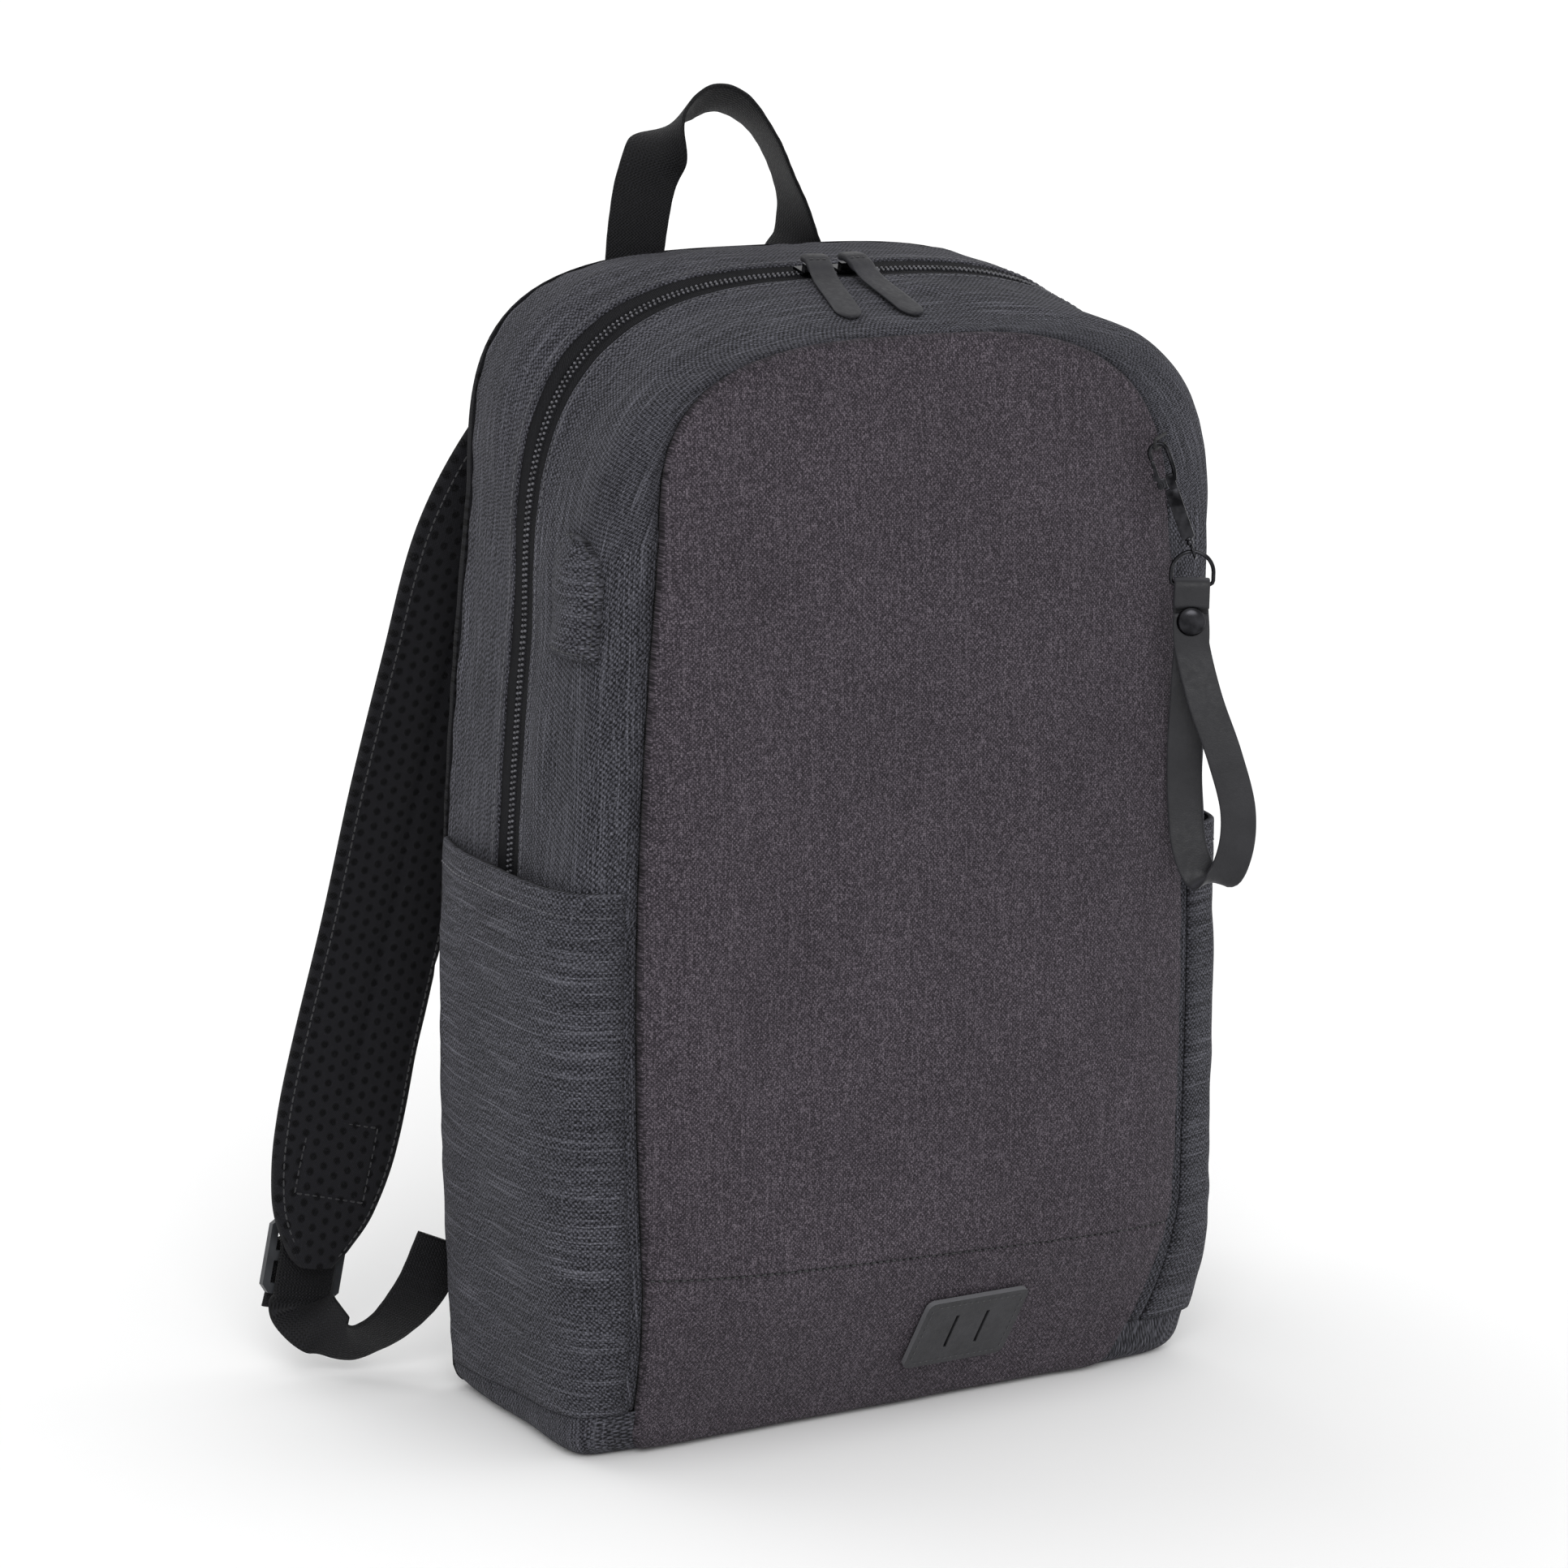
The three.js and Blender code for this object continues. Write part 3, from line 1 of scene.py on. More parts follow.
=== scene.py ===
import json
import math

import bmesh
import bpy
import numpy as np
from mathutils import Matrix, Vector

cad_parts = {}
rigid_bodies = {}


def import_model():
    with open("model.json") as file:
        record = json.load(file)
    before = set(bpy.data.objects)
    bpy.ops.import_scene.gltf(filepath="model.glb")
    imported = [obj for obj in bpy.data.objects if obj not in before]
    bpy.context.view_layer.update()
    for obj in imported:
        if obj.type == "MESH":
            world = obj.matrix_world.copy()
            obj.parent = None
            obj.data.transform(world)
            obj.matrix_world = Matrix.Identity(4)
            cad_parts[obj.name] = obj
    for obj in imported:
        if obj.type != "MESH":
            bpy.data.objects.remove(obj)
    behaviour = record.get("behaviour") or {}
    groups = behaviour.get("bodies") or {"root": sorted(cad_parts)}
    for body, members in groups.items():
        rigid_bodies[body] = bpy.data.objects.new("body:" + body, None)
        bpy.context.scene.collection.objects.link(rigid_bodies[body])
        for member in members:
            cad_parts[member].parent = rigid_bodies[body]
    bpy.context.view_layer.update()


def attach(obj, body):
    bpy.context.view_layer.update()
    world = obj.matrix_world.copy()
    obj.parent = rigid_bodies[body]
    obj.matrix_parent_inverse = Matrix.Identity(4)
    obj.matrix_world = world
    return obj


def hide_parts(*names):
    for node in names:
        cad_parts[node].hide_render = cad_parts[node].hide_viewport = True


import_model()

MM = 0.001

# ---------------------------------------------------------------- camera, floor and light
EYE = Vector((-1.0715, -1.6722, 0.665))
TARGET = Vector((-0.0185, 0.0116, 0.240))
ROLL = math.radians(1.13)
LENS = 121.1


def add_camera():
    data = bpy.data.cameras.new("camera")
    data.lens = LENS
    data.sensor_width = 36.0
    camera = bpy.data.objects.new("camera", data)
    bpy.context.collection.objects.link(camera)
    ahead = (TARGET - EYE).normalized()
    right = ahead.cross(Vector((0, 0, 1))).normalized()
    up = right.cross(ahead)
    across = right * math.cos(ROLL) + up * math.sin(ROLL)
    above = up * math.cos(ROLL) - right * math.sin(ROLL)
    turn = Matrix((across, above, -ahead)).transposed().to_4x4()
    camera.matrix_world = Matrix.Translation(EYE) @ turn
    bpy.context.scene.camera = camera


def add_sun(name, direction, strength, angle):
    data = bpy.data.lights.new(name, "SUN")
    data.energy = strength
    data.angle = angle
    light = bpy.data.objects.new(name, data)
    light.rotation_euler = Vector(direction).to_track_quat("Z", "Y").to_euler()
    bpy.context.collection.objects.link(light)


# ---------------------------------------------------------------- materials
class Look:
    """A procedural material while it is put together."""

    def __init__(self, name, **sockets):
        self.material = bpy.data.materials.new(name)
        self.material.use_nodes = True
        self.tree = self.material.node_tree
        self.shader = self.tree.nodes["Principled BSDF"]
        for key, value in sockets.items():
            self.shader.inputs[key.replace("_", " ").title().replace("Ior", "IOR")].default_value = value

    def node(self, kind, inputs=None, **settings):
        node = self.tree.nodes.new(kind)
        for key, value in settings.items():
            setattr(node, key, value)
        for key, value in (inputs or {}).items():
            if isinstance(value, bpy.types.NodeSocket):
                self.tree.links.new(value, node.inputs[key])
            else:
                node.inputs[key].default_value = value
        return node

    def math(self, operation, a, b=0.0, c=0.0):
        return self.node("ShaderNodeMath", {0: a, 1: b, 2: c}, operation=operation).outputs[0]

    def times(self, a, b):
        return self.math("MULTIPLY", a, b)

    def plus(self, a, b):
        return self.math("ADD", a, b)

    def wave(self, value, rate, shape="SINE"):
        return self.math(shape, self.times(value, rate))

    def vector(self, x, y, z=0.0):
        return self.node("ShaderNodeCombineXYZ", {0: x, 1: y, 2: z}).outputs[0]

    def noise(self, vector, scale=1.0, detail=2.0, roughness=0.5):
        inputs = {"Vector": vector, "Scale": scale, "Detail": detail, "Roughness": roughness}
        return self.node("ShaderNodeTexNoise", inputs).outputs[0]

    def spread(self, value, low, high, to_low=0.0, to_high=1.0):
        inputs = {0: value, 1: low, 2: high, 3: to_low, 4: to_high}
        return self.node("ShaderNodeMapRange", inputs).outputs[0]

    def mix(self, factor, a, b, blend="MIX"):
        node = self.node("ShaderNodeMix", {0: factor, 6: a, 7: b}, data_type="RGBA", blend_type=blend)
        return node.outputs[2]

    def tint(self, color, value, low, high, code, amount=1.0):
        """Mixes a colour in as a value runs from low to high."""
        share = self.spread(value, low, high)
        return self.mix(share if amount == 1.0 else self.times(share, amount), color, rgb(code))

    def darken(self, color, shade):
        return self.mix(1.0, color, self.vector(shade, shade, shade), "MULTIPLY")

    def cloth(self):
        """Millimetres along and across the cloth, and from its nearest seam."""
        place = self.node("ShaderNodeAttribute", attribute_name="cloth").outputs["Vector"]
        parts = self.node("ShaderNodeSeparateXYZ", {0: place})
        return parts.outputs[0], parts.outputs[1], parts.outputs[2]

    def place(self):
        """Millimetres in the object's own frame."""
        source = self.node("ShaderNodeTexCoord").outputs["Object"]
        return self.node("ShaderNodeVectorMath", {0: source, 3: 1000.0}, operation="SCALE").outputs[0]

    def bump(self, height, distance, strength=1.0, before=None):
        inputs = {"Height": height, "Distance": distance, "Strength": strength}
        if before is not None:
            inputs["Normal"] = before
        return self.node("ShaderNodeBump", inputs).outputs[0]

    def finish(self, color=None, rough=None, normal=None):
        for key, value in (("Base Color", color), ("Roughness", rough), ("Normal", normal)):
            if value is not None:
                self.tree.links.new(value, self.shader.inputs[key])
        return self.material


def rgb(code):
    """Linear colour of an sRGB code."""
    parts = [int(code[i:i + 2], 16) / 255 for i in (0, 2, 4)]
    return [*(p / 12.92 if p <= 0.04045 else ((p + 0.055) / 1.055) ** 2.4 for p in parts), 1.0]


def woven(name, warp, weft, dark, light, pitch, streak, fleck, grain=1.0):
    """Plain weave of two yarns. streak is how strongly its yarns differ, fleck how speckled it is."""
    look = Look(name, roughness=0.88, sheen_weight=0.03, sheen_roughness=0.45, specular_ior_level=0.12)
    u, v, seam = look.cloth()

    def yarns(along, across, seed, size, detail, rough):
        return look.noise(look.vector(look.times(u, along), look.times(v, across), seed), size, detail, rough)

    slack = look.times(look.noise(look.vector(u, v, 21.0), 0.35, 2.0), 1.8)
    a = look.plus(look.math("DIVIDE", u, pitch), slack)
    b = look.math("SUBTRACT", look.math("DIVIDE", v, pitch), slack)
    over = look.times(look.wave(a, math.pi, "COSINE"), look.wave(b, math.pi, "COSINE"))
    raised = look.math("ABSOLUTE", over)
    long_yarn = yarns(0.022, 0.9, 0.0, 1.0, 3.0, 0.6)
    flame = yarns(0.12, 1.2, 7.0, 1.0, 2.0, 0.6)
    speck = yarns(0.8, 1.1, 3.0, grain, 2.0, 0.75)
    cloud = look.noise(look.vector(u, v, 11.0), 0.018, 2.0)
    color = look.mix(look.spread(over, -0.4, 0.4), rgb(warp), rgb(weft))
    for value, low, high, code, amount in (
            (long_yarn, 0.5, 0.34, dark, streak), (long_yarn, 0.54, 0.7, light, streak * 0.8),
            (flame, 0.54, 0.68, light, streak * 0.4),
            (speck, 0.53, 0.64, light, fleck), (speck, 0.47, 0.36, dark, fleck)):
        color = look.tint(color, value, low, high, code, amount)
    # shade: soft random tone, times painted shade near seams, times painted shade in the sunken spots between
    # yarns
    shade = look.times(look.spread(cloud, 0.3, 0.7, 0.92, 1.07), look.spread(seam, 0.0, 2.5, 0.75, 1.0))
    shade = look.times(shade, look.spread(raised, 0.0, 0.6, 0.6, 1.12))
    fine = look.bump(look.plus(raised, look.times(speck, 0.6)), 0.00032, 0.6)
    soft = look.bump(look.noise(look.vector(u, v, 5.0), 0.22, 3.0), 0.0012, 0.28, fine)
    return look.finish(look.darken(color, shade), look.spread(speck, 0.3, 0.7, 0.8, 0.96), soft)


def webbing_look(name):
    """Ribbed nylon webbing: ribs along it, with a small zigzag across them."""
    look = Look(name, roughness=0.7, sheen_weight=0.02, sheen_roughness=0.4, specular_ior_level=0.2)
    u, v, seam = look.cloth()
    zig = look.times(look.math("PINGPONG", v, 0.8), 0.5)
    rib = look.wave(look.plus(u, zig), 2 * math.pi / 1.5)
    weave = look.times(rib, look.wave(v, 2 * math.pi / 1.25))
    speck = look.noise(look.vector(u, v), 0.9, 3.0, 0.65)
    color = look.mix(look.spread(weave, -0.7, 0.8), rgb("070708"), rgb("18181b"))
    color = look.tint(color, speck, 0.58, 0.75, "2b2b30")
    # painted shade towards the webbing's edges
    color = look.darken(color, look.spread(seam, 0.0, 1.6, 0.75, 1.0))
    fine = look.bump(look.plus(weave, look.times(rib, 0.6)), 0.00025, 0.6)
    return look.finish(color, look.spread(speck, 0.3, 0.7, 0.55, 0.8), fine)


def tape_look():
    """Twill tape of a zip: slanting ribs."""
    look = Look("twill_tape", roughness=0.75, specular_ior_level=0.08)
    u, v, _ = look.cloth()
    rib = look.wave(look.plus(u, look.times(v, 1.1)), 2 * math.pi / 1.1)
    speck = look.noise(look.vector(u, v), 1.2, 2.0)
    color = look.mix(look.spread(rib, -0.6, 0.9), rgb("0b0b0c"), rgb("222225"))
    color = look.tint(color, speck, 0.55, 0.8, "2c2c30")
    return look.finish(color, look.spread(speck, 0.3, 0.7, 0.65, 0.85), look.bump(rib, 0.0002, 0.6))


def spacer_look(name, cell):
    """Black spacer mesh: small honeycomb holes in a knitted face."""
    look = Look(name, roughness=0.9, sheen_weight=0.02, sheen_roughness=0.5, specular_ior_level=0.12)
    u, v, seam = look.cloth()
    rate = 2 * math.pi / cell
    third, half = look.times(v, rate * math.sqrt(3) / 2), look.times(u, rate / 2)
    comb = look.plus(look.wave(u, rate, "COSINE"), look.math("COSINE", look.math("SUBTRACT", third, half)))
    comb = look.plus(comb, look.math("COSINE", look.plus(third, half)))
    hole = look.spread(comb, 0.4, 1.9)
    knit = look.times(look.wave(u, 7.0), look.wave(v, 5.2))
    speck = look.noise(look.vector(u, v), 1.1, 3.0, 0.7)
    # the honeycomb holes are painted near black as the shade inside them
    color = look.mix(hole, rgb("1c1c1f"), rgb("050506"))
    color = look.tint(color, knit, 0.2, 0.9, "2a2a2e", 0.5)
    color = look.tint(color, speck, 0.55, 0.75, "35353a", 0.6)
    # painted shade towards the mesh's edges
    color = look.darken(color, look.spread(seam, 0.0, 4.0, 0.7, 1.0))
    deep = look.bump(look.math("SUBTRACT", 1.0, hole), 0.0009, 0.8)
    return look.finish(color, look.spread(speck, 0.3, 0.7, 0.8, 0.98), look.bump(knit, 0.00025, 0.5, deep))


def rubber_look(name, face, worn, edge=None, toward=(0, -1, 0)):
    """Matt leather-like rubber with a fine grain. Its cut edges are lighter, except inside a slot, which gets
    painted shade.
    """
    look = Look(name, roughness=0.5, specular_ior_level=0.3)
    at = look.place()
    grain = look.node("ShaderNodeTexVoronoi", {"Vector": at, "Scale": 1.6}).outputs[0]
    color = look.mix(look.spread(look.noise(at, 0.09, 3.0), 0.3, 0.7), rgb(face), rgb(worn))
    color = look.tint(color, grain, 0.5, 0.0, "1c1c1f", 0.35)
    if edge:
        normal = look.node("ShaderNodeNewGeometry").outputs["Normal"]
        facing = look.node("ShaderNodeVectorMath", {0: normal, 1: toward}, operation="DOT_PRODUCT").outputs[1]
        turned = look.spread(look.math("ABSOLUTE", facing), 0.75, 0.45)
        # painted shade: ambient occlusion keeps the lighter cut edge out of the slots and darkens the colour
        # inside them
        air = look.node("ShaderNodeAmbientOcclusion", {"Distance": 0.004}, samples=8).outputs["AO"]
        open_air = look.spread(air, 0.25, 0.6)
        color = look.mix(look.times(turned, open_air), color, rgb(edge))
        color = look.darken(color, look.spread(open_air, 0.0, 1.0, 0.25, 1.0))
    soft = look.bump(look.noise(at, 0.15, 2.0), 0.0008, 0.2, look.bump(grain, 0.00012, 0.5))
    return look.finish(color, look.spread(look.noise(at, 0.5, 3.0), 0.3, 0.7, 0.42, 0.6), soft)


def clouded(name, low, high, cloud, edge, rough, bump, fine=None, rough_by_fine=False, **sockets):
    """A material whose colour and roughness vary a little in soft clouds, with a fine grain."""
    look = Look(name, **sockets)
    at = look.place()
    cloud = look.noise(at, *cloud)
    fine = look.noise(at, *fine) if fine else cloud
    color = look.mix(look.spread(cloud, edge, 1 - edge), rgb(low), rgb(high))
    rough = look.spread(fine if rough_by_fine else cloud, 0.3, 0.7, *rough)
    return look.finish(color, rough, look.bump(fine, *bump))


def cord_look():
    """Braided cover of round elastic."""
    look = Look("braid", roughness=0.7)
    at = look.place()
    cell = look.node("ShaderNodeTexVoronoi", {"Vector": at, "Scale": 1.4}).outputs[0]
    color = look.mix(look.spread(cell, 0.1, 0.6), rgb("2e2e32"), rgb("0c0c0e"))
    return look.finish(color, look.spread(cell, 0.0, 0.6, 0.6, 0.85), look.bump(cell, 0.0003, 0.6))


def floor_look():
    look = Look("studio_floor", roughness=0.9, specular_ior_level=0.1)
    cloud = look.noise(look.place(), 0.002, 2.0)
    color = look.mix(look.spread(cloud, 0.3, 0.7), (0.955, 0.955, 0.955, 1), (0.975, 0.975, 0.975, 1))
    return look.finish(color)


HEATHER = woven("heather_cloth", "151518", "4b4b52", "0d0d0f", "7e7e87", 1.0, 0.5, 0.36)
MELANGE = woven("melange_cloth", "2c282d", "484249", "1a171a", "7b737b", 0.8, 0.2, 0.6, 1.5)
WEBBING = webbing_look("ribbed_webbing")
TWILL = tape_look()
STRAP_MESH = spacer_look("strap_spacer", 5.2)
BACK_MESH = spacer_look("back_spacer", 4.2)
TAB_RUBBER = rubber_look("pull_rubber", "262629", "2e2e32")
PATCH_RUBBER = rubber_look("patch_rubber", "2b2b2d", "343437", "606063")
WRIST_RUBBER = rubber_look("wrist_rubber", "1f1f22", "27272a", "3c3c40", (0.53, 0.85, 0))
# moulded nylon with a spark-eroded grain, and black nickel, coil turns and threads whose colour
# varies a little in soft clouds
NYLON = clouded("moulded_nylon", "232426", "34363a", (0.12, 2.0), 0.3, (0.36, 0.58), (0.00012, 0.4),
                (3.0, 3.0, 0.7), True, roughness=0.45)
NICKEL = clouded("black_nickel", "19191b", "39393c", (0.16, 3.0, 0.5), 0.35, (0.15, 0.27), (0.00004, 0.3),
                 (4.0, 2.0), metallic=1.0, roughness=0.2)
COIL = clouded("coil_nylon", "303034", "606066", (0.8, 2.0), 0.35, (0.25, 0.4), (0.00005, 0.3), roughness=0.3,
               specular_ior_level=0.5)
THREAD, THREAD_GREY = (
    clouded(name, low, high, (2.6, 2.0), 0.35, (0.5, 0.75), (0.0001, 0.4), roughness=0.6, sheen_weight=0.2)
    for name, low, high in (("seam_thread", "151517", "2e2e32"), ("grey_thread", "2b2b30", "505058")))
ELASTIC = cord_look()

# ---------------------------------------------------------------- the bag's skin, as in the CAD
BAG_WIDTH, BAG_DEPTH, BAG_HEIGHT = 266.0, 124.0, 442.0
HALF_WIDTH, HALF_DEPTH = BAG_WIDTH / 2, BAG_DEPTH / 2
SIDE_BOW, BOW_HEIGHT, SIDE_TAPER = 9.8, 380.0, 7.6
FRONT_LEAN = 15.0
FOOT_HEIGHT, FOOT_BACK, FOOT_IN, FOOT_SWAY, FOOT_POWER = 76.0, 23.5, 7.6, -5.2, 10
SHOULDER_SLACK, RIGHT_FULL, RIGHT_FOOT_FULL, RIGHT_SHOULDER_FULL = 5.0, 6.5, 9.0, 4.0
BASE_ROUND, TOE_ROUND = 10.0, 6.0
WALL, GAP = 2.4, 0.3
FRONT_PILLOW, BACK_EDGE, BACK_PAD = 9.0, 3.0, 8.0
BAND_HEIGHT, BAND_TILT = 70.0, -5.5
BASE_SEAM_BACK, BASE_SEAM_FRONT = 12.0, 20.0

# depth, width, top, shoulder and squareness of the bag's sections
SECTIONS = np.array([
    (0.0, 1.0, 1.0, 0.196, 3.6),
    (0.2, 1.018, 1.002, 0.23, 3.4),
    (0.46, 1.02, 0.989, 0.28, 3.2),
    (0.7, 1.035, 0.976, 0.255, 2.9),
    (0.87, 1.028, 0.963, 0.205, 2.9),
    (0.95, 0.985, 0.956, 0.175, 2.9),
    (1.0, 0.868, 0.95, 0.156, 3.06),
])
KEYS = SECTIONS[:, 0]


def section(column, at):
    at = np.clip(at, 0.0, 1.0)
    last = len(KEYS) - 1
    i = np.clip(np.searchsorted(KEYS, at) - 1, 0, last - 1)
    value = SECTIONS[:, column]
    before, after = np.maximum(i - 1, 0), np.minimum(i + 2, last)
    span = KEYS[i + 1] - KEYS[i]
    slope_a = (value[i + 1] - value[before]) / (KEYS[i + 1] - KEYS[before]) * span
    slope_b = (value[after] - value[i]) / (KEYS[after] - KEYS[i]) * span
    t = (at - KEYS[i]) / span
    rise = value[i + 1] - value[i]
    bend = (3 * rise - 2 * slope_a - slope_b) * t ** 2
    return value[i] + slope_a * t + bend + (slope_a + slope_b - 2 * rise) * t ** 3


def smooth(x, low, high):
    t = np.clip((np.asarray(x, float) - low) / (high - low), 0.0, 1.0)
    return t * t * (3 - 2 * t)


def between(x, start, full, end, gone):
    """1 from full to end, and 0 before start and after gone."""
    return smooth(x, start, full) * (1 - smooth(x, end, gone))


def bell(x, middle, reach):
    return np.exp(-((x - middle) / reach) ** 2)


def unit(v):
    return v / np.linalg.norm(v, axis=-1, keepdims=True)


def run_length(points):
    """Lengths from a path's first point to each of its points."""
    return np.concatenate([[0], np.cumsum(np.linalg.norm(np.diff(points, axis=0), axis=1))])


def crowded(count, bend=1.42):
    """Places from -1 to 1 that lie closer at both ends."""
    return np.sin(np.linspace(-1, 1, count) * bend) / math.sin(bend)


def lerp(a, b, t):
    return a + (b - a) * t


def foot_share(z):
    return np.clip(1 - z / FOOT_HEIGHT, 0, 1) ** 1.6


def round_inset(z, radius):
    """How far a rounded edge lies in at a distance from it."""
    rest = np.clip(radius - z, 0, radius)
    return radius - np.sqrt(radius ** 2 - rest ** 2)


def half_width(depth, z):
    swell = SIDE_BOW * np.sin(np.pi * np.clip(z / BOW_HEIGHT, 0, 1))
    foot = FOOT_IN * foot_share(z) * depth ** FOOT_POWER
    wide = section(1, depth) * HALF_WIDTH - SIDE_TAPER * (z / BAG_HEIGHT)
    return wide + swell - foot - round_inset(z, BASE_ROUND)


def sway(depth, z):
    return FOOT_SWAY * foot_share(z) * depth ** FOOT_POWER


def full_share(depth):
    return depth ** 2 * (1 - depth ** FOOT_POWER) / 0.55


def fuller(depth, z):
    return full_share(depth) * (RIGHT_FULL * smooth(z, 200, 330) + RIGHT_FOOT_FULL * (1 - smooth(z, 20, 120)))


def depth_at(depth, z):
    lean = depth ** 2 * FRONT_LEAN * (z / BAG_HEIGHT)
    foot = depth ** 4 * (FOOT_BACK * foot_share(z) + round_inset(z, TOE_ROUND))
    return HALF_DEPTH - depth * BAG_DEPTH + lean + foot


def base_seam(depth):
    return lerp(BASE_SEAM_BACK, BASE_SEAM_FRONT, depth)


def shoulder(depth):
    """Top, drop, squareness and start of a section's rounded top."""
    top = section(2, depth) * BAG_HEIGHT
    drop = section(3, depth) * BAG_HEIGHT
    return top, drop, section(4, depth), top - drop


def crown(depth, angle):
    depth, angle = np.broadcast_arrays(np.asarray(depth, float), np.asarray(angle, float))
    _, drop, square, start = shoulder(depth)
    c, s = np.cos(angle), np.sin(angle)
    r = (np.abs(c) ** square + np.abs(s) ** square) ** (-1 / square)
    corner = np.where(c < 0, (2 * s * c) ** 2, 0.0)
    stuffed = RIGHT_SHOULDER_FULL * full_share(depth) * corner
    z = start + drop * r * s + stuffed / 2
    slack = SHOULDER_SLACK * depth ** FOOT_POWER * corner
    right = np.where(c < 0, fuller(depth, start) * r * -c + stuffed - slack, 0.0)
    return np.stack([right - half_width(depth, start) * r * c, depth_at(depth, z), z], -1)


def skin(depth, way):
    """way runs 0 to 1 up the left side, 1 to 2 over the top and 2 to 3 down the right side."""
    depth, way = np.broadcast_arrays(np.asarray(depth, float), np.asarray(way, float))
    top = crown(depth, np.clip(way - 1, 0, 1) * np.pi)
    share = np.where(way <= 1, way, 3 - way)
    z = lerp(base_seam(depth), shoulder(depth)[3], np.clip(share, 0, 1))
    side = np.where(way <= 1, -1.0, 1.0)
    right = np.where(side > 0, fuller(depth, z), 0.0)
    flank = np.stack([side * half_width(depth, z) + sway(depth, z) + right, depth_at(depth, z), z], -1)
    return np.where(((way > 1) & (way < 2))[..., None], top, flank)


def skin_normal(depth, way):
    step = 0.004
    depth, way = np.broadcast_arrays(np.asarray(depth, float), np.asarray(way, float))
    across = skin(np.minimum(depth + step, 1), way) - skin(np.maximum(depth - step, 0), way)
    up = skin(depth, np.minimum(way + step, 3)) - skin(depth, np.maximum(way - step, 0))
    return unit(np.cross(across, up))


def lifted(depth, way, lift):
    depth, way, lift = np.broadcast_arrays(depth, way, lift)
    return skin(depth, way) + skin_normal(depth, way) * lift[..., None]


def way_of_height(depth, z):
    return (z - base_seam(depth)) / (shoulder(depth)[3] - base_seam(depth))


# ---------------------------------------------------------------- mesh helpers
def waves(points, size, seed, stretch=(1, 1, 1), count=18):
    """Smooth noise of about -1 to 1, with features of a size in millimetres."""
    random = np.random.default_rng(seed)
    run = random.normal(size=(count, 3))
    run /= np.linalg.norm(run, axis=1, keepdims=True)
    run *= (2 * np.pi / size) * random.uniform(0.6, 1.5, (count, 1)) / np.array(stretch)
    phase = random.uniform(0, 2 * np.pi, count)
    return np.sin(points @ run.T + phase).sum(-1) / math.sqrt(count / 2) * 0.6


def ripple(along, pitch, grid, size, seed, swing=2.0):
    """Uneven ripples along a seam."""
    return np.sin(along / pitch + swing * waves(grid, size, seed))


def grid_faces(rows, columns, start=0):
    corner = (np.arange(rows - 1)[:, None] * columns + np.arange(columns - 1)[None, :] + start).ravel()
    return np.stack([corner, corner + 1, corner + columns + 1, corner + columns], -1)


def ring_faces(rings, sides, closed=False):
    """Faces between rings of points, and from the last ring to the first if closed."""
    faces = []
    for i in range(rings if closed else rings - 1):
        here, ahead = i * sides, (i + 1) % rings * sides
        pairs = zip(range(sides), [*range(1, sides), 0])
        faces += [(here + k, here + m, ahead + m, ahead + k) for k, m in pairs]
    return faces


def make(name, points, faces, look, slot, replaces=(), body="bag", cloth=None, auto=None, padded=None):
    mesh = bpy.data.meshes.new(name)
    mesh.from_pydata((np.asarray(points) * MM).tolist(), [], [list(map(int, f)) for f in faces])
    if cloth is not None:
        layer = mesh.attributes.new("cloth", "FLOAT_VECTOR", "POINT")
        layer.data.foreach_set("vector", np.asarray(cloth, np.float32).ravel())
    shape = bmesh.new()
    shape.from_mesh(mesh)
    bmesh.ops.recalc_face_normals(shape, faces=shape.faces)
    shape.to_mesh(mesh)
    shape.free()
    mesh.polygons.foreach_set("use_smooth", np.ones(len(mesh.polygons), bool))
    piece = bpy.data.objects.new(name, mesh)
    bpy.context.collection.objects.link(piece)
    for part in look if isinstance(look, (list, tuple)) else [look]:
        mesh.materials.append(part)
    if auto is not None:
        mesh.set_sharp_from_angle(angle=math.radians(auto))
    if replaces:
        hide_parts(*replaces)
    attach(piece, body)
    return piece


def shell(outer, inner):
    """Points and faces of a closed shell between two grids."""
    rows, columns = outer.shape[:2]
    count = rows * columns
    faces = [grid_faces(rows, columns), grid_faces(rows, columns, count)[:, ::-1]]
    index = np.arange(count).reshape(rows, columns)
    rim = np.concatenate([index[0], index[1:, -1], index[-1, -2::-1], index[-2:0:-1, 0]])
    after = np.roll(rim, -1)
    faces.append(np.stack([rim, rim + count, after + count, after], -1))
    return np.concatenate([outer.reshape(-1, 3), inner.reshape(-1, 3)]), np.concatenate(faces)


def sheet_piece(name, outer, inner, cloth, look, slot, **options):
    points, faces = shell(outer, inner)
    flat = cloth.reshape(-1, 3)
    return make(name, points, faces, look, slot, cloth=np.concatenate([flat, flat]), **options)


def capsules(starts, ends, up, radius, sink, sides=6):
    """Short round threads between pairs of points, whose ends sink into the cloth."""
    run = ends - starts
    length = np.linalg.norm(run, axis=1, keepdims=True)
    run = run / length
    side = unit(np.cross(run, up))
    lift = np.cross(side, run)
    points = []
    for share, size, drop in ((0.0, 0.45, sink), (0.2, 1.0, 0.0), (0.8, 1.0, 0.0), (1.0, 0.45, sink)):
        middle = starts + run * length * share - lift * drop
        for a in np.arange(sides) * 2 * np.pi / sides:
            points.append(middle + (side * math.cos(a) + lift * math.sin(a)) * radius * size)
    one = ring_faces(4, sides) + [tuple(range(sides))[::-1], tuple(range(3 * sides, 4 * sides))]
    faces = [tuple(k + i * 4 * sides for k in face) for i in range(len(starts)) for face in one]
    return np.stack(points, 1).reshape(-1, 3), faces


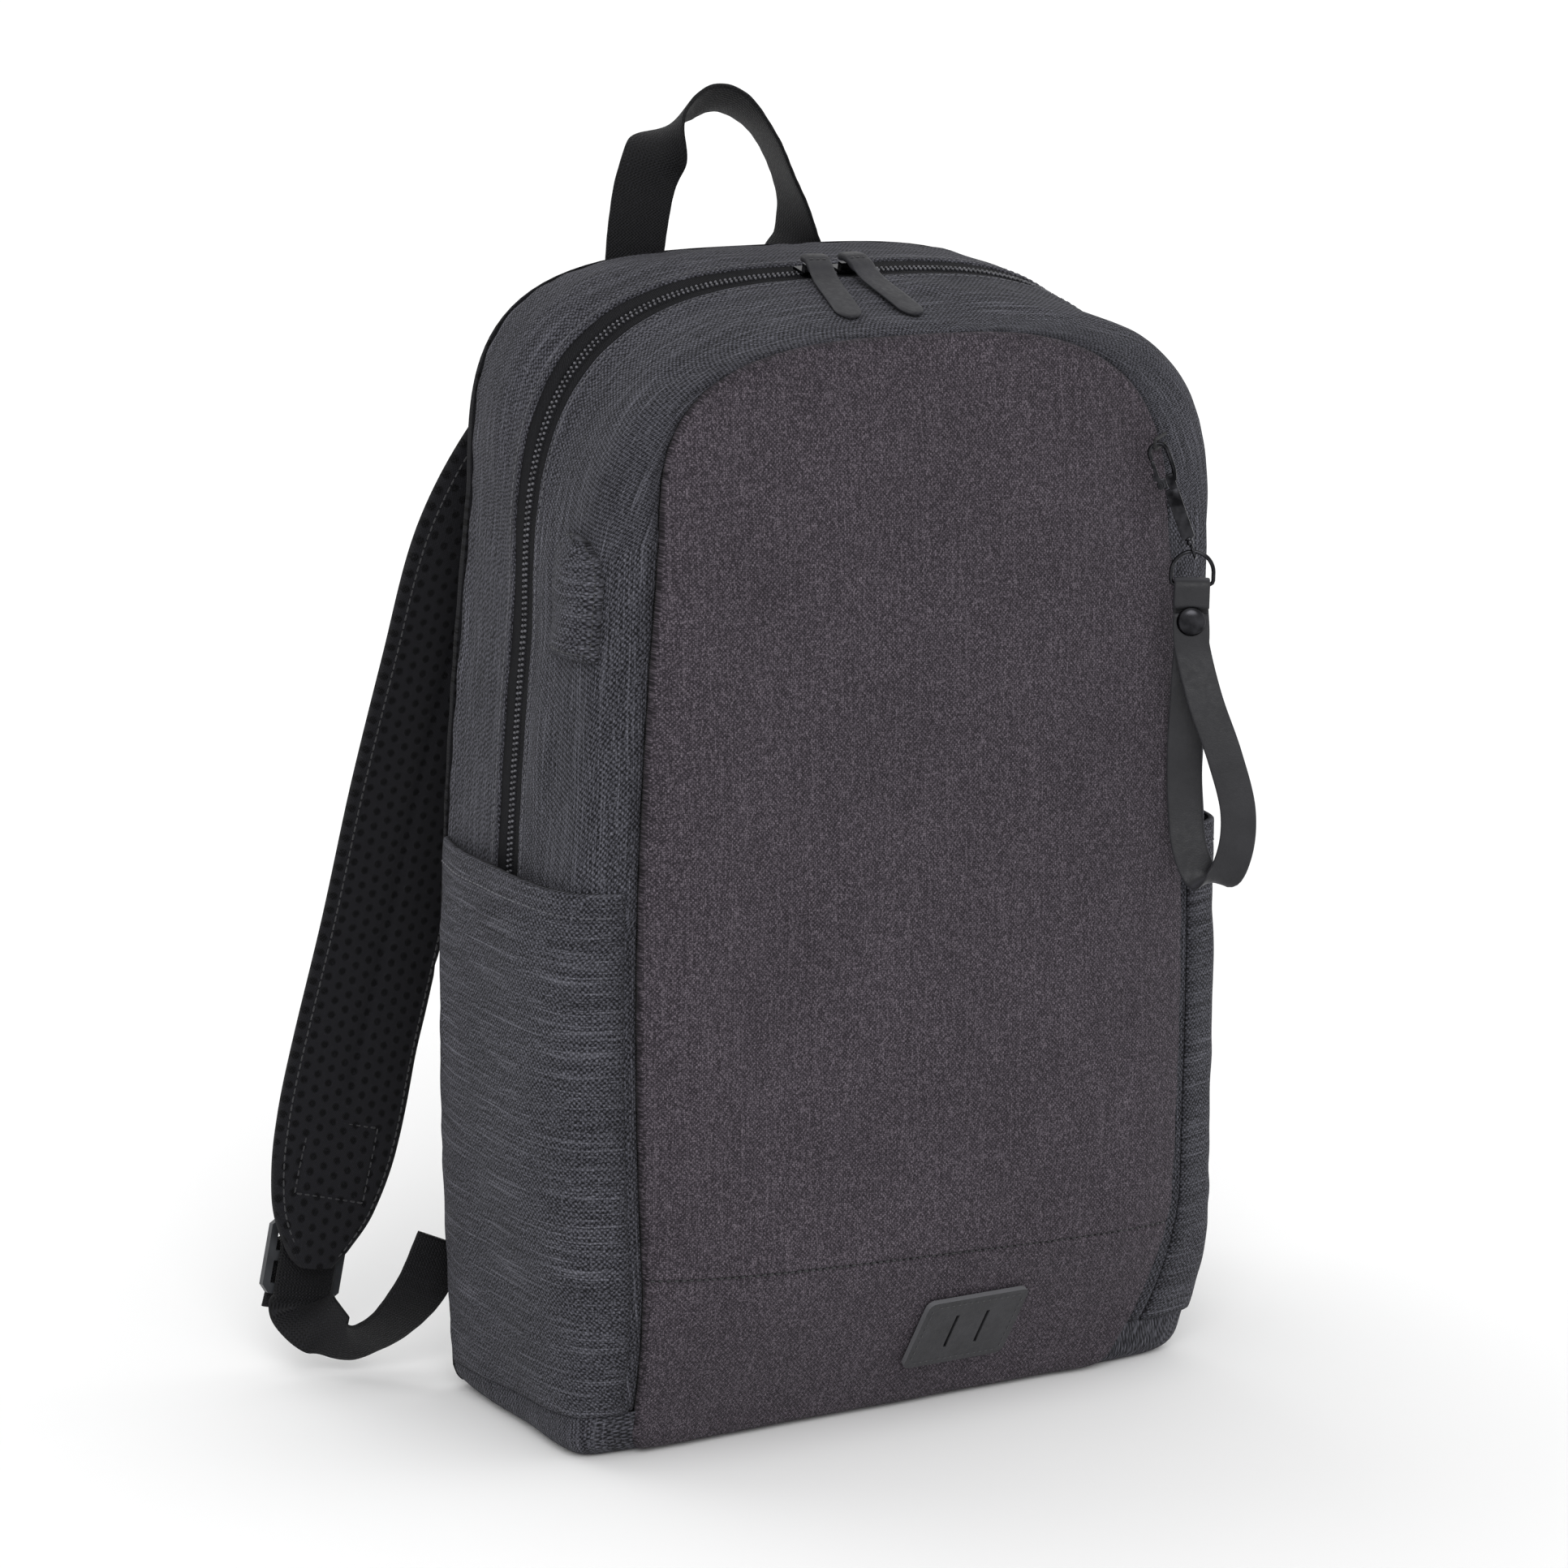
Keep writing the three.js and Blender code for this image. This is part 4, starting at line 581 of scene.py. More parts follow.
def resample(path, *others, step):
    """Points of a path at even steps, with other columns carried along."""
    length = run_length(path)
    at = np.linspace(0, length[-1], max(int(length[-1] / step), 1) + 1)
    return [np.stack([np.interp(at, length, column[:, k]) for k in range(column.shape[1])], -1)
            for column in (path, *others)]


STITCH_PITCH = 3.3
STITCH_LENGTH = 2.5
stitch_sets = {}


def stitch(name, path, up, look=THREAD, radius=0.32, pitch=STITCH_PITCH, length=STITCH_LENGTH, lift=0.1):
    """A row of stitches along a path on cloth."""
    points, normals = resample(np.asarray(path, float), np.asarray(up, float), step=pitch)
    normals = unit(normals)
    points = points + normals * lift
    share = length / pitch
    ends = lerp(points[:-1], points[1:], share)
    made, faces = capsules(points[:-1], ends, normals[:-1], radius, sink=radius)
    stitch_sets.setdefault((name, look.name), []).append((made, faces))


def finish_stitches():
    for (name, look), runs in stitch_sets.items():
        points, faces = joined(*runs)
        make(name, points, faces, bpy.data.materials[look], "webbing")


def catmull(points, count):
    """Even parameters on the centripetal curve that the CAD's routes use."""
    points = np.asarray(points, float)
    last = len(points) - 1
    out = []
    for k in range(count + 1):
        at = last * k / count
        i = min(int(at), last - 1)
        t = at - i
        p1, p2 = points[i], points[i + 1]
        p0 = points[i - 1] if i > 0 else 2 * points[0] - points[1]
        p3 = points[i + 2] if i + 2 <= last else 2 * points[last] - points[last - 1]
        d0, d1, d2 = (max(np.sum((a - b) ** 2) ** 0.25, 1e-4) for a, b in ((p0, p1), (p1, p2), (p2, p3)))
        t1 = ((p1 - p0) / d0 - (p2 - p0) / (d0 + d1) + (p2 - p1) / d1) * d1
        t2 = ((p2 - p1) / d1 - (p3 - p1) / (d1 + d2) + (p3 - p2) / d2) * d1
        bend = (-3 * p1 + 3 * p2 - 2 * t1 - t2) * t ** 2
        out.append(p1 + t1 * t + bend + (2 * p1 - 2 * p2 + t1 + t2) * t ** 3)
    return np.array(out)


def band_frames(places, sides):
    ahead = np.concatenate([places[1:], places[-1:]])
    before = np.concatenate([places[:1], places[:-1]])
    run = unit(ahead - before)
    side = unit(sides - run * np.sum(sides * run, -1, keepdims=True))
    return run, side, np.cross(run, side)


def ribbon(places, sides, width, thick, columns, edge, power, top, bottom):
    """Points, faces and cloth places of a band. top and bottom give each face's relief."""
    _, side, face = band_frames(places, sides)
    count = len(places)
    a = crowded(columns + 1, 1.35)
    share = np.maximum(1 - np.abs(a) ** power, 0) ** 0.5 * (1 - edge) + edge
    width, thick = (np.broadcast_to(np.asarray(v, float), (count,))[:, None] for v in (width, thick))
    along = run_length(places)[:, None]
    x = a[None, :] * width / 2
    up = share[None, :] * thick / 2
    high = up + top(a[None, :], along, x)
    low = -up - bottom(a[None, :], along, x)

    def at(offset):
        return places[:, None] + side[:, None] * x[..., None] + face[:, None] * offset[..., None]

    rings = np.concatenate([at(high), at(low)[:, ::-1]], 1)
    spot = np.stack([x, np.broadcast_to(along, x.shape), width / 2 - np.abs(x)], -1)
    cloth = np.concatenate([spot, spot[:, ::-1]], 1)
    n = 2 * (columns + 1)
    faces = ring_faces(count, n)
    for first in (0, (count - 1) * n):
        faces += [(first + k, first + k + 1, first + n - 2 - k, first + n - 1 - k) for k in range(columns)]
    return rings.reshape(-1, 3), faces, cloth.reshape(-1, 3)


def tube(places, radius, flat, closed=False, sides=14):
    """Points and faces of a round wire. flat is the normal of the plane that it runs in."""
    places = np.asarray(places, float)
    count = len(places)
    if closed:
        run = unit(np.roll(places, -1, 0) - np.roll(places, 1, 0))
    else:
        run = unit(np.concatenate([places[1:], places[-1:]]) - np.concatenate([places[:1], places[:-1]]))
    first = unit(np.cross(run, np.asarray(flat, float)))
    second = np.cross(run, first)
    angle = (np.arange(sides) * 2 * np.pi / sides)[None, :, None]
    radius = np.broadcast_to(np.asarray(radius, float), (count,))[:, None, None]
    rings = places[:, None] + (first[:, None] * np.cos(angle) + second[:, None] * np.sin(angle)) * radius
    faces = ring_faces(count, sides, closed)
    if not closed:
        faces += [tuple(range(sides)), tuple(range((count - 1) * sides, count * sides))]
    return rings.reshape(-1, 3), faces


def block(size, middle, bevel):
    """Points and faces of a moulded block with rounded edges."""
    shape = bmesh.new()
    bmesh.ops.create_cube(shape, size=1.0, matrix=Matrix.Diagonal((*size, 1.0)))
    bmesh.ops.bevel(shape, geom=list(shape.edges), offset=bevel, segments=2, profile=0.5, affect="EDGES")
    points = np.array([v.co for v in shape.verts]) + np.asarray(middle, float)
    faces = [tuple(v.index for v in f.verts) for f in shape.faces]
    shape.free()
    return points, faces


def joined(*parts):
    points, faces, shift = [], [], 0
    for made, found in parts:
        points.append(made)
        faces.extend(tuple(int(k) + shift for k in face) for face in found)
        shift += len(made)
    return np.concatenate(points), faces


# ---------------------------------------------------------------- gussets and zip
COIL_WIDTH, TAPE_REAR, TAPE_FRONT = 6.6, 6.4, 3.4
ZIP_PLACE = 56.4
ZIP_DEPTH = ZIP_PLACE / BAG_DEPTH
ZIP_END, ZIP_RUNOUT = 192.0, 9.0
REAR_EDGE = ZIP_DEPTH - (COIL_WIDTH / 2 + TAPE_REAR + 2 * GAP) / BAG_DEPTH
FRONT_EDGE = ZIP_DEPTH + (COIL_WIDTH / 2 + TAPE_FRONT + 2 * GAP) / BAG_DEPTH
HALF_GAP = GAP / 2 / BAG_DEPTH
ZIP_WAY = float(way_of_height(ZIP_DEPTH, ZIP_END))
RUNOUT_WAY = float(way_of_height(ZIP_DEPTH, ZIP_END - ZIP_RUNOUT))
HEM_HEIGHT = 222.0
TOPSTITCH = 3.4  # from a gusset's edge along the zip to its stitches
NO_SEAM = 9.0  # distance to a seam that is too far off for its painted seam shade to show


def edge_steps(length, fine=(0.0, 0.35, 0.8, 1.4, 2.2, 3.2), step=3.2):
    """Places across a piece that lie closer at its two edges."""
    middle = np.linspace(fine[-1], length - fine[-1], max(int((length - 2 * fine[-1]) / step), 2) + 1)
    return np.concatenate([fine[:-1], middle, [length - f for f in fine[-2::-1]]])


def even_ways(depth, start, count, step):
    """Ways from one side over the top to the other at even lengths of the skin, and those lengths."""
    raw = np.concatenate([np.linspace(start, 1, count)[:-1], np.linspace(1, 2, 160),
                          np.linspace(2, 3 - start, count)[1:]])
    length = run_length(skin(depth, raw))
    at = np.linspace(0, length[-1], int(length[-1] / step))
    return np.interp(at, length, raw), at


# Soft dents and bulges of the gussets: depth share, way, reach across and along in mm, height
GUSSET_DENTS = [
    (0.12, 0.86, 26, 60, -1.6),
    (0.30, 1.10, 18, 26, -1.5),
    (0.22, 1.22, 20, 30, 1.2),
    (0.18, 1.62, 22, 60, -1.8),
    (0.34, 1.80, 14, 46, 1.4),
    (0.80, 0.62, 16, 60, -1.2),
    (0.66, 0.75, 10, 50, 0.9),
    (0.84, 1.18, 14, 30, -1.1),
    (0.78, 1.80, 14, 40, 1.3),
    (0.86, 2.20, 16, 50, -1.6),
    (0.72, 2.45, 14, 60, 1.2),
    (0.30, 2.30, 22, 70, -1.4),
]


def measured(grid):
    """Millimetres across a grid's rows, over its real surface."""
    steps = np.linalg.norm(np.diff(grid, axis=1), axis=-1)
    return np.concatenate([np.zeros((len(grid), 1)), np.cumsum(steps, axis=1)], axis=1)


def gusset_piece(name, open_edge, front):
    ways, along = even_ways(0.5, 0, 60, 3.6)
    inner = np.minimum(ways, 3 - ways)
    opened = smooth(inner, RUNOUT_WAY, ZIP_WAY)
    closed_edge = ZIP_DEPTH + (HALF_GAP if front else -HALF_GAP)
    edge = lerp(closed_edge, open_edge, opened)
    start, end = (edge, np.ones_like(edge)) if front else (np.zeros_like(edge), edge)
    width = abs(1 - FRONT_EDGE if front else REAR_EDGE) * BAG_DEPTH
    steps = edge_steps(width) / width
    depth = start[:, None] + (end - start)[:, None] * steps[None, :]
    way = np.broadcast_to(ways[:, None], depth.shape)
    across = (end - start)[:, None] * BAG_DEPTH * np.ones_like(depth)
    from_start = steps[None, :] * across
    from_end = across - from_start
    from_zip, from_seam = (from_start, from_end) if front else (from_end, from_start)
    base = skin(depth, way)
    bare = smooth(base[..., 2], HEM_HEIGHT - 6, HEM_HEIGHT + 24)
    length = np.broadcast_to(along[:, None], depth.shape)
    pucker = ripple(length, 3.4, base, 60, 3, 2.2) * np.exp(-from_seam / 7.0) * 0.34
    pucker += ripple(length, 2.9, base, 50, 4) * np.exp(-np.abs(from_zip - 5) / 4.0) * 0.16
    crease = waves(base, 52, 11 + front, (1.6, 0.8, 1.6)) * 0.75
    crease = crease + waves(base, 24, 21 + front, (1, 0.7, 1.5)) * 0.3
    middle = smooth(from_seam, 0, 10) * smooth(from_zip, 3, 12)
    lift = bare * (pucker + crease * middle)
    for at_depth, at_way, wide, long, height in GUSSET_DENTS:
        off = base - skin(at_depth, at_way)
        reach = (off[..., 1] / wide) ** 2 + (off[..., 0] ** 2 + off[..., 2] ** 2) / long ** 2
        lift = lift + bare * height * np.exp(-reach) * smooth(from_seam, 0, 9) * smooth(from_zip, 1, 9)
    # the doubled edge along the zip, with its topstitching pulled in
    opened = opened[:, None]
    lift = lift + opened * (0.45 * (1 - smooth(from_zip, 5.2, 7.4)) - 0.3 * bell(from_zip, TOPSTITCH, 0.6))
    lift = lift - round_inset(from_zip, 1.3) * opened - round_inset(from_seam, 2.2)
    outer = lifted(depth, way, lift)
    inner_grid = lifted(depth, way, np.minimum(lift, 0) - WALL)
    seam = np.minimum(from_seam, np.where(opened > 0.5, from_zip + 1.2, NO_SEAM))
    cloth = np.stack([length, measured(outer), seam], -1)
    node = "front_gusset" if front else "rear_gusset"
    sheet_piece(name, outer, inner_grid, cloth, HEATHER, "heather", replaces=(node,))
    shown = ways[inner > ZIP_WAY]
    row = open_edge + (TOPSTITCH if front else -TOPSTITCH) / BAG_DEPTH
    stitch("zip_topstitching", lifted(row, shown, 0.2), skin_normal(row, shown), THREAD_GREY)


gusset_piece("rear_gusset_cloth", REAR_EDGE, False)
gusset_piece("front_gusset_cloth", FRONT_EDGE, True)


def zip_ways(step):
    return even_ways(ZIP_DEPTH, ZIP_WAY + 0.012, 40, step)


def zip_strip(name, low, high, columns, relief, thick, **options):
    """A woven strip of the zip. relief gives its height from millimetres along and across it."""
    ways, along = zip_ways(4.0)
    along, depth = np.meshgrid(along, np.linspace(low, high, columns), indexing="ij")
    way = np.broadcast_to(ways[:, None], depth.shape)
    lift = relief(along, (depth - ZIP_DEPTH) * BAG_DEPTH)
    cloth = np.stack([along, depth * BAG_DEPTH, np.full_like(depth, NO_SEAM)], -1)
    outer, inner = lifted(depth, way, lift), lifted(depth, way, lift - thick)
    sheet_piece(name, outer, inner, cloth, TWILL, "webbing", **options)


def tape_relief(along, across):
    return -0.3 - 0.12 * np.sin(along / 5.0)


def core_relief(along, across):
    return -0.35 - 0.5 * bell(across, 0, 0.5) - 0.6 * smooth(np.abs(across), 2.4, 3.2)


COIL_HALF = COIL_WIDTH / 2 / BAG_DEPTH
COIL_PITCH = 2.1
ZIP_GAP = GAP / BAG_DEPTH
COIL_REAR, COIL_FRONT = ZIP_DEPTH - COIL_HALF + ZIP_GAP, ZIP_DEPTH + COIL_HALF - ZIP_GAP
zip_strip("rear_tape", REAR_EDGE + ZIP_GAP, COIL_REAR, 5, tape_relief, 1.0, replaces=("zip_tape_rear",))
zip_strip("front_tape", COIL_FRONT, FRONT_EDGE - ZIP_GAP, 5, tape_relief, 1.0, replaces=("zip_tape_front",))


def coil_piece():
    """Two rows of nylon coil turns on a woven core."""
    ways, _ = zip_ways(COIL_PITCH)
    parts = []
    for sign in (-1, 1):
        here = ways[:-1] if sign < 0 else lerp(ways[:-1], ways[1:], 0.5)
        lean = (ways[1:] - ways[:-1]) * 0.2 * sign
        a = lifted(ZIP_DEPTH + sign * 0.7 / BAG_DEPTH, here, 0.15)
        b = lifted(ZIP_DEPTH + sign * 1.7 / BAG_DEPTH, here + lean, 0.1)
        parts.append(capsules(a, b, skin_normal(ZIP_DEPTH, here), 0.58, sink=0.35))
    points, faces = joined(*parts)
    make("zip_teeth", points, faces, COIL, "webbing", replaces=("zip_coil",))
    zip_strip("zip_core", COIL_REAR, COIL_FRONT, 12, core_relief, 0.9)


coil_piece()

# ---------------------------------------------------------------- front panel and lower band
FRONT_FOOT = 0.8
FRONT_START = float(shoulder(1.0)[3])


def front_place(across, up):
    top = crown(1.0, (across + 1) / 2 * np.pi)
    wide = half_width(1.0, FRONT_START)
    z = lerp(FRONT_FOOT, top[..., 2], up)
    share = lerp(across, top[..., 0] / wide, up)
    return share * half_width(1.0, np.minimum(z, FRONT_START)) + sway(1.0, z), z


def front_point(across, up, lift=0.0):
    across, up = np.broadcast_arrays(np.asarray(across, float), np.asarray(up, float))
    x, z = front_place(across, up)
    pillow = FRONT_PILLOW * (1 - np.abs(across) ** 3.5) * (1 - up ** 10) * smooth(z, 0, FOOT_HEIGHT)
    return np.stack([x, depth_at(1.0, z) - GAP - WALL - pillow - lift, z], -1)


def up_of_height(across, z):
    return (z - FRONT_FOOT) / (front_place(across, 1.0)[1] - FRONT_FOOT)


# Shallow folds of the front panel: x, z, reach in x and z, height
FRONT_DENTS = [
    (96, 350, 16, 60, -1.8),
    (78, 388, 34, 14, 1.0),
    (-70, 380, 26, 22, -1.2),
    (20, 250, 60, 90, 0.9),
    (-60, 130, 40, 60, -0.9),
    (60, 120, 50, 40, 0.7),
    (-96, 240, 12, 80, 0.8),
]


ACROSS_LINE = crowded(108)


def front_piece(name, rows, replaces):
    across, up = np.broadcast_arrays(ACROSS_LINE, rows)
    flat = front_point(across, up)
    side_gap = (1 - np.abs(across)) * 118
    top_gap = (1 - up) * 400
    x, z = flat[..., 0], flat[..., 2]
    seam_z = BAND_HEIGHT + BAND_TILT * across
    band_gap = np.abs(z - seam_z)
    foot_gap = z - FRONT_FOOT
    edge = np.minimum(side_gap, top_gap)
    lift = waves(flat, 95, 31, (1.2, 1, 1.6)) * 0.8 + waves(flat, 40, 32, (1, 1, 1.5)) * 0.28
    lift = lift * smooth(edge, 0, 26) * smooth(band_gap, 0, 16)
    lift = lift + ripple(z, 3.6, flat, 50, 33) * np.exp(-side_gap / 6) * 0.3
    lift = lift + ripple(x, 3.6, flat, 50, 34) * np.exp(-top_gap / 7) * 0.3
    lift = lift + ripple(x, 2.6, flat, 40, 35) * np.exp(-band_gap / 5) * 0.16
    for at_x, at_z, wide, tall, height in FRONT_DENTS:
        reach = ((x - at_x) / wide) ** 2 + ((z - at_z) / tall) ** 2
        lift = lift + height * np.exp(-reach) * smooth(edge, 0, 10)
    # the mouth of the hidden pocket on the right stands a little off its seam
    lift = lift + 1.3 * between(z, 214, 232, 318, 338) * smooth(across, 0.9, 1.0)
    lift = lift - round_inset(side_gap, 2.3) - round_inset(top_gap, 2.3)
    lift = lift - round_inset(band_gap, 1.5) - round_inset(foot_gap, 2.0)
    outer = front_point(across, up, lift)
    inner = front_point(across, up, np.minimum(lift, 0.4) - WALL)
    seam = np.minimum.reduce([side_gap, top_gap, band_gap + 1.0, foot_gap])
    cloth = np.stack([z, x, seam], -1)
    sheet_piece(name, outer, inner, cloth, MELANGE, "melange", replaces=replaces)


def band_rows(from_low, count, bunch):
    seam = BAND_HEIGHT + BAND_TILT * ACROSS_LINE
    meet = up_of_height(ACROSS_LINE, seam + (GAP / 2 if from_low else -GAP / 2))
    t = edge_steps(bunch, step=bunch / count) / bunch
    if from_low:
        return meet[None, :] + (1 - meet[None, :]) * t[:, None]
    return meet[None, :] * t[:, None]


front_piece("front_panel_cloth", band_rows(True, 100, 352.0), ("front_panel",))
front_piece("front_band_cloth", band_rows(False, 26, 70.0), ("front_lower_band",))

seam_across = np.linspace(-0.985, 0.985, 90)
seam_up = up_of_height(seam_across, BAND_HEIGHT + BAND_TILT * seam_across)
seam_line = front_point(seam_across, seam_up, -1.0)
seam_out = np.tile([0, -1.0, 0.1], (len(seam_line), 1))
stitch("band_stitching", seam_line, seam_out, radius=0.45, lift=0.25, pitch=3.0, length=1.9)

# ---------------------------------------------------------------- padded back
BACK_FOOT = 2.5
BACK_TOP, _, _, BACK_START = (float(v) for v in shoulder(0.0))


def back_place(across, up):
    top = crown(0.0, (across + 1) / 2 * np.pi)
    z = lerp(BACK_FOOT, top[..., 2], up)
    share = lerp(across, top[..., 0] / half_width(0.0, BACK_START), up)
    return share * half_width(0.0, np.minimum(z, BACK_START)), z


def back_pad(across, up):
    channel = 1 - 0.55 * bell(across, 0, 0.14) * smooth(up, 0.05, 0.3)
    return BACK_PAD * (1 - np.abs(across) ** 5) * (1 - up ** 12) * (1 - (1 - up) ** 14) * channel


def back_face_y(x, z):
    across = np.clip(x / half_width(0.0, min(z, BACK_START)), -1, 1)
    up = np.clip((z - BACK_FOOT) / (BACK_TOP - BACK_FOOT), 0, 1)
    return HALF_DEPTH + GAP + BACK_EDGE + float(back_pad(across, up))


def back_piece():
    across, up = np.broadcast_arrays(crowded(96), (edge_steps(440.0, step=4.2) / 440.0)[:, None])
    x, z = back_place(across, up)
    side_gap, top_gap, foot_gap = (1 - np.abs(across)) * 130, (1 - up) * 430, up * 430
    edge = np.minimum.reduce([side_gap, top_gap, foot_gap])
    flat = np.stack([x, np.zeros_like(x), z], -1)
    # two sewn channels beside the middle one, and a line of stitches round the edge
    groove = sum(bell(x, at, 1.6) * between(z, 40, 60, 352, 366) for at in (-30, 30))
    lift = waves(flat, 70, 41) * 0.5 * smooth(edge, 2, 20) - 1.5 * groove
    lift = lift + ripple(z, 3.4, flat, 60, 42) * np.exp(-side_gap / 8) * 0.3
    lift = lift - round_inset(edge, 2.4) - bell(edge, 9, 1.2)
    y = HALF_DEPTH + GAP + BACK_EDGE + back_pad(across, up) + lift
    outer = np.stack([x, y, z], -1)
    inner = np.stack([x, np.full_like(x, HALF_DEPTH + GAP), z], -1)
    cloth = np.stack([x, z, edge], -1)
    sheet_piece("back_pad", outer, inner, cloth, BACK_MESH, "mesh", replaces=("back_panel",), padded=0.6)


back_piece()


# ---------------------------------------------------------------- base
def base_piece():
    depth = np.linspace(0, 1, 44)
    drops = np.array([1, 0.92, 0.8, 0.68, 0.56, 0.45, 0.35, 0.26, 0.18, 0.11, 0.05, 0.0])
    flat = np.linspace(-0.97, 0.97, 40)
    outer, inner, cloth = [], [], []
    for d in depth:
        rise = float(base_seam(d)) - GAP
        z = np.concatenate([drops * rise, np.zeros(len(flat)), drops[::-1] * rise])
        wide = half_width(d, z)
        share = np.concatenate([-np.ones(len(drops)), flat, np.ones(len(drops))])
        x = wide * share
        right = np.where(x > 0, share * fuller(d, z), 0.0)
        line = np.stack([x + sway(d, z) + right, depth_at(d, z), z], -1)
        run = np.gradient(line[:, [0, 2]], axis=0)
        inward = unit(np.stack([-run[:, 1], np.zeros(len(z)), run[:, 0]], -1))
        inward[len(drops) - 1:len(drops) + len(flat) + 1] = (0, 0, 1)
        ripple = np.where(z > 1.5, 0.25 * waves(line, 30, 51), 0.0)
        outer.append(line + inward * np.maximum(ripple, 0)[:, None])
        inner.append(line + inward * (WALL + np.maximum(ripple, 0))[:, None])
        seam = np.minimum(rise - z + 1.0, NO_SEAM)
        cloth.append(np.stack([run_length(line), np.full_like(z, d * BAG_DEPTH), seam], -1))
    outer, inner, cloth = (np.array(rows) for rows in (outer, inner, cloth))
    sheet_piece("base_cloth", outer, inner, cloth, HEATHER, "heather", replaces=("bottom_panel",))


base_piece()

# ---------------------------------------------------------------- side pockets
POCKET_WALL, POCKET_SWELL, POCKET_MOUTH = 1.6, 8.4, 6.4
POCKET_BACK, POCKET_FRONT, POCKET_HEM = 0.015, 0.985, 8.5
# the crease that runs from the hem towards the back seam: depth share and height
POCKET_FOLD = np.array([
    (0.02, 176.0), (0.05, 188), (0.13, 198), (0.26, 202), (0.46, 206), (0.7, 210), (0.98, 214)])


def pocket_lift(depth, up):
    across = np.sin(np.pi * np.clip((depth - 0.02) / 0.94, 0, 1)) ** 0.7
    low = np.maximum(np.sin(np.pi * np.clip(up, 0, 1)), 0) ** 0.8
    high = lerp(1.0, POCKET_MOUTH / POCKET_SWELL, smooth(up, 0.5, 1.0))
    return POCKET_SWELL * across * np.where(up < 0.5, low, high)


def pocket_piece(name, side, replaces):
    depth = POCKET_BACK + edge_steps((POCKET_FRONT - POCKET_BACK) * BAG_DEPTH, step=2.6) / BAG_DEPTH
    up = edge_steps(205.0, step=2.8) / 205.0
    depth, up = np.meshgrid(depth, up)
    top = way_of_height(depth, HEM_HEIGHT)
    way = up * top
    real_way = way if side < 0 else 3 - way
    base = skin(depth, real_way)
    z = base[..., 2]
    from_back, from_front = (depth - POCKET_BACK) * BAG_DEPTH, (POCKET_FRONT - depth) * BAG_DEPTH
    from_hem, from_foot = HEM_HEIGHT - z, z - base_seam(depth)
    flat = np.stack([depth * BAG_DEPTH, z, np.full_like(z, side * 40.0)], -1)
    inside = smooth(from_back, 1, 14) * smooth(from_front, 1, 14) * smooth(from_foot, 2, 20)
    lift = waves(flat, 58, 61 + side, (1.7, 0.8, 1)) * 0.7 + waves(flat, 24, 62 + side, (1.6, 0.7, 1)) * 0.26
    lift = lift * inside * smooth(from_hem, -4, 14)
    lift = lift + ripple(z, 3.3, flat, 50, 63) * (np.exp(-from_front / 6) + np.exp(-from_back / 6)) * 0.26
    lift = lift + ripple(depth * BAG_DEPTH, 3.3, flat, 50, 64) * np.exp(-from_foot / 6) * 0.26
    under = np.interp(depth, POCKET_FOLD[:, 0], POCKET_FOLD[:, 1]) - z
    step = 1.5 * between(under, -0.6, 1.4, 16, 44) - 0.9 * bell(under, -1.6, 1.6)
    lift = lift + step * smooth(from_back, 2, 10) * (1 - smooth(depth, 0.55, 0.9))
    # a sewn tuck with a raised lip in front of it
    tuck = 0.7 * bell(depth, 0.13, 3 / BAG_DEPTH) - 1.4 * bell(depth, 0.1, 1.3 / BAG_DEPTH)
    lift = lift + tuck * between(z, 132, 142, 158, 168)
    lift = lift - 0.3 * bell(from_hem, POCKET_HEM, 0.6) + 0.3 * (1 - smooth(from_hem, POCKET_HEM, 11))
    edges = (np.maximum(from_hem, 0), 0.8), (from_front, 1.5), (from_back, 1.5), (from_foot, 1.6)
    for gap, radius in edges:
        lift = lift - round_inset(gap, radius)
    rise = GAP + POCKET_WALL + pocket_lift(depth, up) + lift
    outer = lifted(depth, real_way, np.maximum(rise, GAP + 0.5))
    inner = lifted(depth, real_way, np.maximum(rise - POCKET_WALL, GAP * 0.6))
    seam = np.minimum.reduce([from_front, from_back, from_foot, from_hem + 1.4])
    cloth = np.stack([measured(outer) + 300 * (side > 0), z, seam], -1)
    sheet_piece(name, outer, inner, cloth, HEATHER, "heather", replaces=(replaces,))
    row = int(np.argmin(np.abs(from_hem[:, 20] - POCKET_HEM)))
    normals = skin_normal(depth[row], real_way[row])
    stitch("pocket_stitching", outer[row][3:-3], normals[3:-3], THREAD_GREY, lift=0.05)


pocket_piece("left_pocket_cloth", -1, "side_pocket_left")
pocket_piece("right_pocket_cloth", 1, "side_pocket_right")

# ---------------------------------------------------------------- hood over the cable port
COVER_BOTTOM, COVER_TOP, COVER_RISE, COVER_EDGE = 306.0, 352.0, 6.0, 1.6
COVER_REAR, COVER_FRONT, COVER_PEAK, COVER_EASE, COVER_FILLET = 0.69, 0.93, 0.66, 0.4, 0.42


